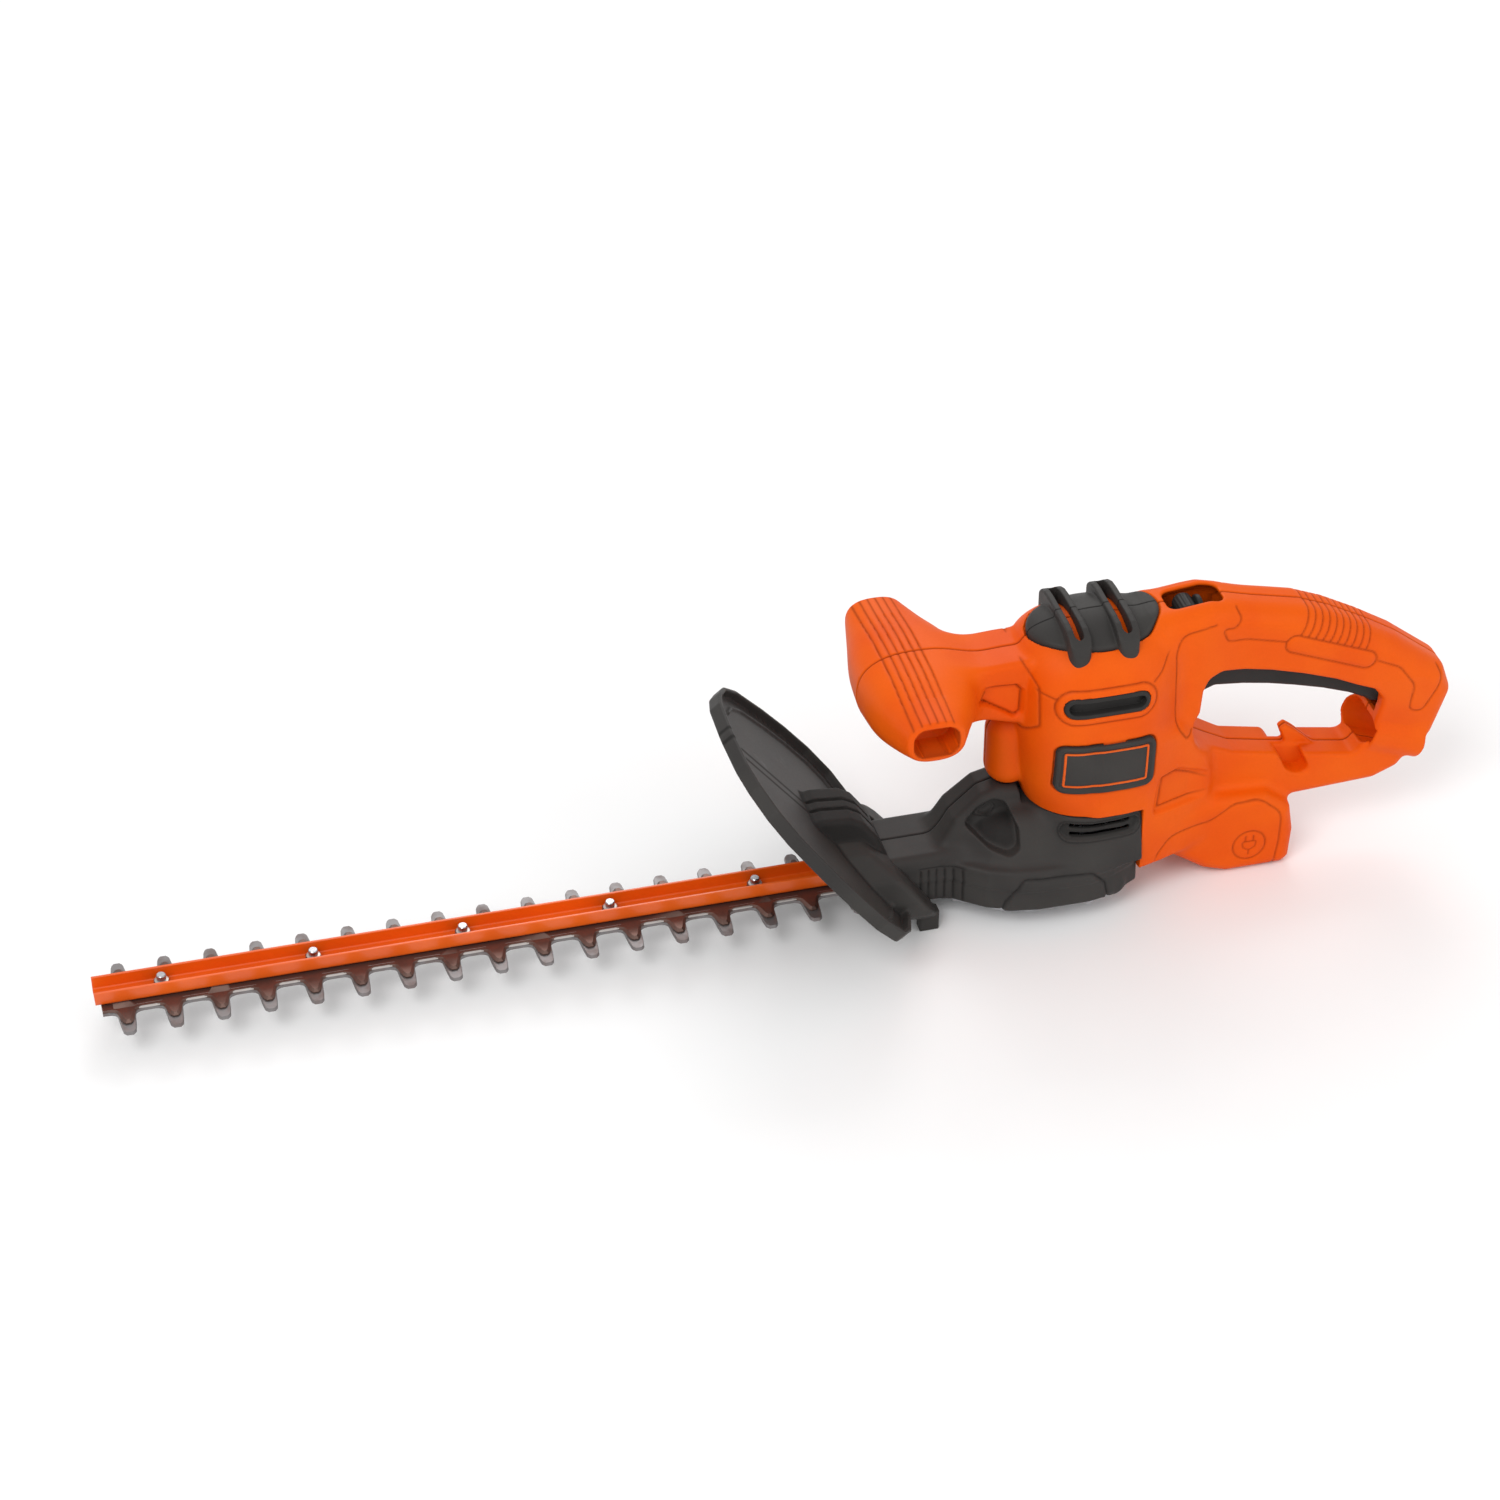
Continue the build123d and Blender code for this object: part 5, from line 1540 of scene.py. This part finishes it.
    def _bar(self, finishes: Finishes) -> None:
        """The pressed channel, with bent lower corners and a rolled top edge."""
        low, high = (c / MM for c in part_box("blade_bar"))
        half, floor, top, wall, bend = high.y, low.z, high.z, 1.5, 2.2
        lip, reach = 0.3, bend - wall + 0.3
        tip_left = [(-half, top - lip), (-half + lip, top)]
        inner_left = [(-half + wall - lip, top), (-half + wall, top - lip)]
        outer_left: list[tuple[float, float]] = []
        for turn in range(5):
            angle = math.radians(180 + 90 * turn / 4)
            inner_left.append((-half + wall + reach + reach * math.cos(angle),
                               floor + wall + reach + reach * math.sin(angle)))
            angle = math.radians(270 - 90 * turn / 4)
            outer_left.append((-half + bend + bend * math.cos(angle),
                               floor + bend + bend * math.sin(angle)))
        left = [tip_left, inner_left, outer_left]
        tip_right, inner_right, outer_right = ([(-y, z) for y, z in reversed(run)] for run in left)
        whole = tip_left + inner_left + inner_right + tip_right + outer_right + outer_left
        stations = np.linspace(low.x, high.x, 48)
        bar = sweep("channel_bar", whole, [float(x) for x in stations])
        dress(bar, finishes.bar, "root", "bar_paint", "blade_bar")

    def _nuts(self, finishes: Finishes) -> None:
        """Flange nuts with a bright washer face, and the bolts' round ends."""
        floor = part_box("blade_nuts")[0].z / MM
        rings = [(4.6, floor), (4.7, floor + 0.3), (4.6, floor + 0.8), (4.0, floor + 1.1), (3.9, floor + 1.3),
                 (3.9, floor + 3.0), (3.6, floor + 3.4)]
        nut = solid_piece("flange_nuts", *lathe(rings, 24, 3), crisp=30)
        tree = RowTree("flange_nut_row", finishes.zinc)
        start, step = Vector((self.bolt_first * MM, 0, 0)), Vector((self.bolt_pitch * MM, 0, 0))
        nuts = tree.repeat(nut, self.bolts, start, step)
        dress(nuts, finishes.zinc, "root", "fastener_steel", "blade_nuts")
        washer = [(3.3, floor + 3.42), (3.75, floor + 3.5), (3.75, floor + 3.75), (3.3, floor + 3.95)]
        face = solid_piece("washer_faces", *lathe(washer, 24), crisp=50)
        tree = RowTree("washer_face_row", finishes.ground)
        dress(tree.repeat(face, self.bolts, start, step), finishes.ground, "root", "fastener_steel")


# ------------------------------------ carried-over parts ---------------------------------

class Carried:
    """The CAD nodes that stay: the drive, the motor and the other fasteners."""

    def build(self, finishes: Finishes) -> None:
        """Give each shown CAD node a finish for its slot."""
        slots = {node: entry["slot"] for entry in frame["record"]["materials"]
                 for node in entry.get("nodes", [])}
        for name, piece in frame["nodes"].items():
            finish = finishes.by_slot.get(slots.get(name, ""), finishes.machined)
            for slot in piece.material_slots:
                slot.material = finish
            if not piece.material_slots:
                piece.data.materials.append(finish)
            log.info("%s keeps its CAD shape in %s", name, finish.name)


# ----------------------------------------- studio ----------------------------------------

@dataclass
class Studio:
    """Pale floor, soft lights and the camera."""

    place: tuple[float, float, float] = (-0.60549, -1.58895, 1.33563)
    right: tuple[float, float, float] = (0.9672, -0.2540, 0.0)
    up: tuple[float, float, float] = (0.1513, 0.5760, 0.8034)
    back: tuple[float, float, float] = (-0.2041, -0.7770, 0.5955)
    lens: float = 93.6
    floor_half: float = 6.0
    sky: float = 0.72
    lamps: tuple[tuple[str, tuple[float, float, float], float, float], ...] = (
        ("key_light", (-1.5, -1.5, 2.3), 34.0, 1.3),
        ("fill_light", (1.6, -1.8, 1.2), 12.0, 1.6),
        ("rim_light", (0.4, 1.9, 1.6), 16.0, 1.2),
    )

    def build(self) -> None:
        """Make the floor, the lights and the camera."""
        size = self.floor_half
        corners = [(-size, -size, 0), (size, -size, 0), (size, size, 0), (-size, size, 0)]
        floor = solid_piece("studio_floor", corners, [(0, 1, 2, 3)])
        shader = Shader("studio_paper")
        paper, fleck = (0.93, 0.93, 0.93, 1), (0.91, 0.91, 0.91, 1)
        shader.set(Base_Color=shader.mix(shader.noise(60.0), paper, fleck), Roughness=0.9)
        floor.data.materials.append(shader.material)
        world = bpy.data.worlds.new("studio_sky")
        world.use_nodes = True
        sky = next(n for n in world.node_tree.nodes if n.type == "BACKGROUND")
        sky.inputs["Color"].default_value = (1.0, 1.0, 1.0, 1.0)
        sky.inputs["Strength"].default_value = self.sky
        bpy.context.scene.world = world
        for name, spot, power, width in self.lamps:
            self._light(name, spot, power, width)
        lens = bpy.data.cameras.new("camera")
        lens.lens = self.lens
        lens.sensor_width = 36.0
        lens.clip_start = 0.05
        camera = bpy.data.objects.new("camera", lens)
        camera.matrix_world = Matrix((
            (self.right[0], self.up[0], self.back[0], self.place[0]),
            (self.right[1], self.up[1], self.back[1], self.place[1]),
            (self.right[2], self.up[2], self.back[2], self.place[2]),
            (0, 0, 0, 1),
        ))
        bpy.context.scene.collection.objects.link(camera)
        bpy.context.scene.camera = camera
        bpy.context.scene.view_settings.view_transform = "Standard"

    @staticmethod
    def _light(name: str, spot: Sequence[float], power: float, width: float) -> None:
        """One square soft light that faces the tool."""
        lamp = bpy.data.lights.new(name, "AREA")
        lamp.energy = power
        lamp.size = width
        light = bpy.data.objects.new(name, lamp)
        light.location = spot
        towards = Vector((-0.15, 0, 0.08)) - Vector(spot)
        light.rotation_mode = "QUATERNION"
        light.rotation_quaternion = towards.to_track_quat("-Z", "Y")
        bpy.context.scene.collection.objects.link(light)


def main() -> None:
    """Build every sub-assembly in order."""
    logging.basicConfig(level=logging.INFO, format="%(message)s", stream=sys.stdout)
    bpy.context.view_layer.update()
    finishes = Finishes()
    Studio().build()
    Carried().build(finishes)
    CuttingUnit().build(finishes)
    Guard().build(finishes)
    GearCase().build(finishes)
    housing = Housing()
    housing.build(finishes)
    TopVent(housing).build(finishes)
    FlankTrim(housing).build(finishes)
    Controls().build(finishes)


if __name__ == "__main__":
    main()
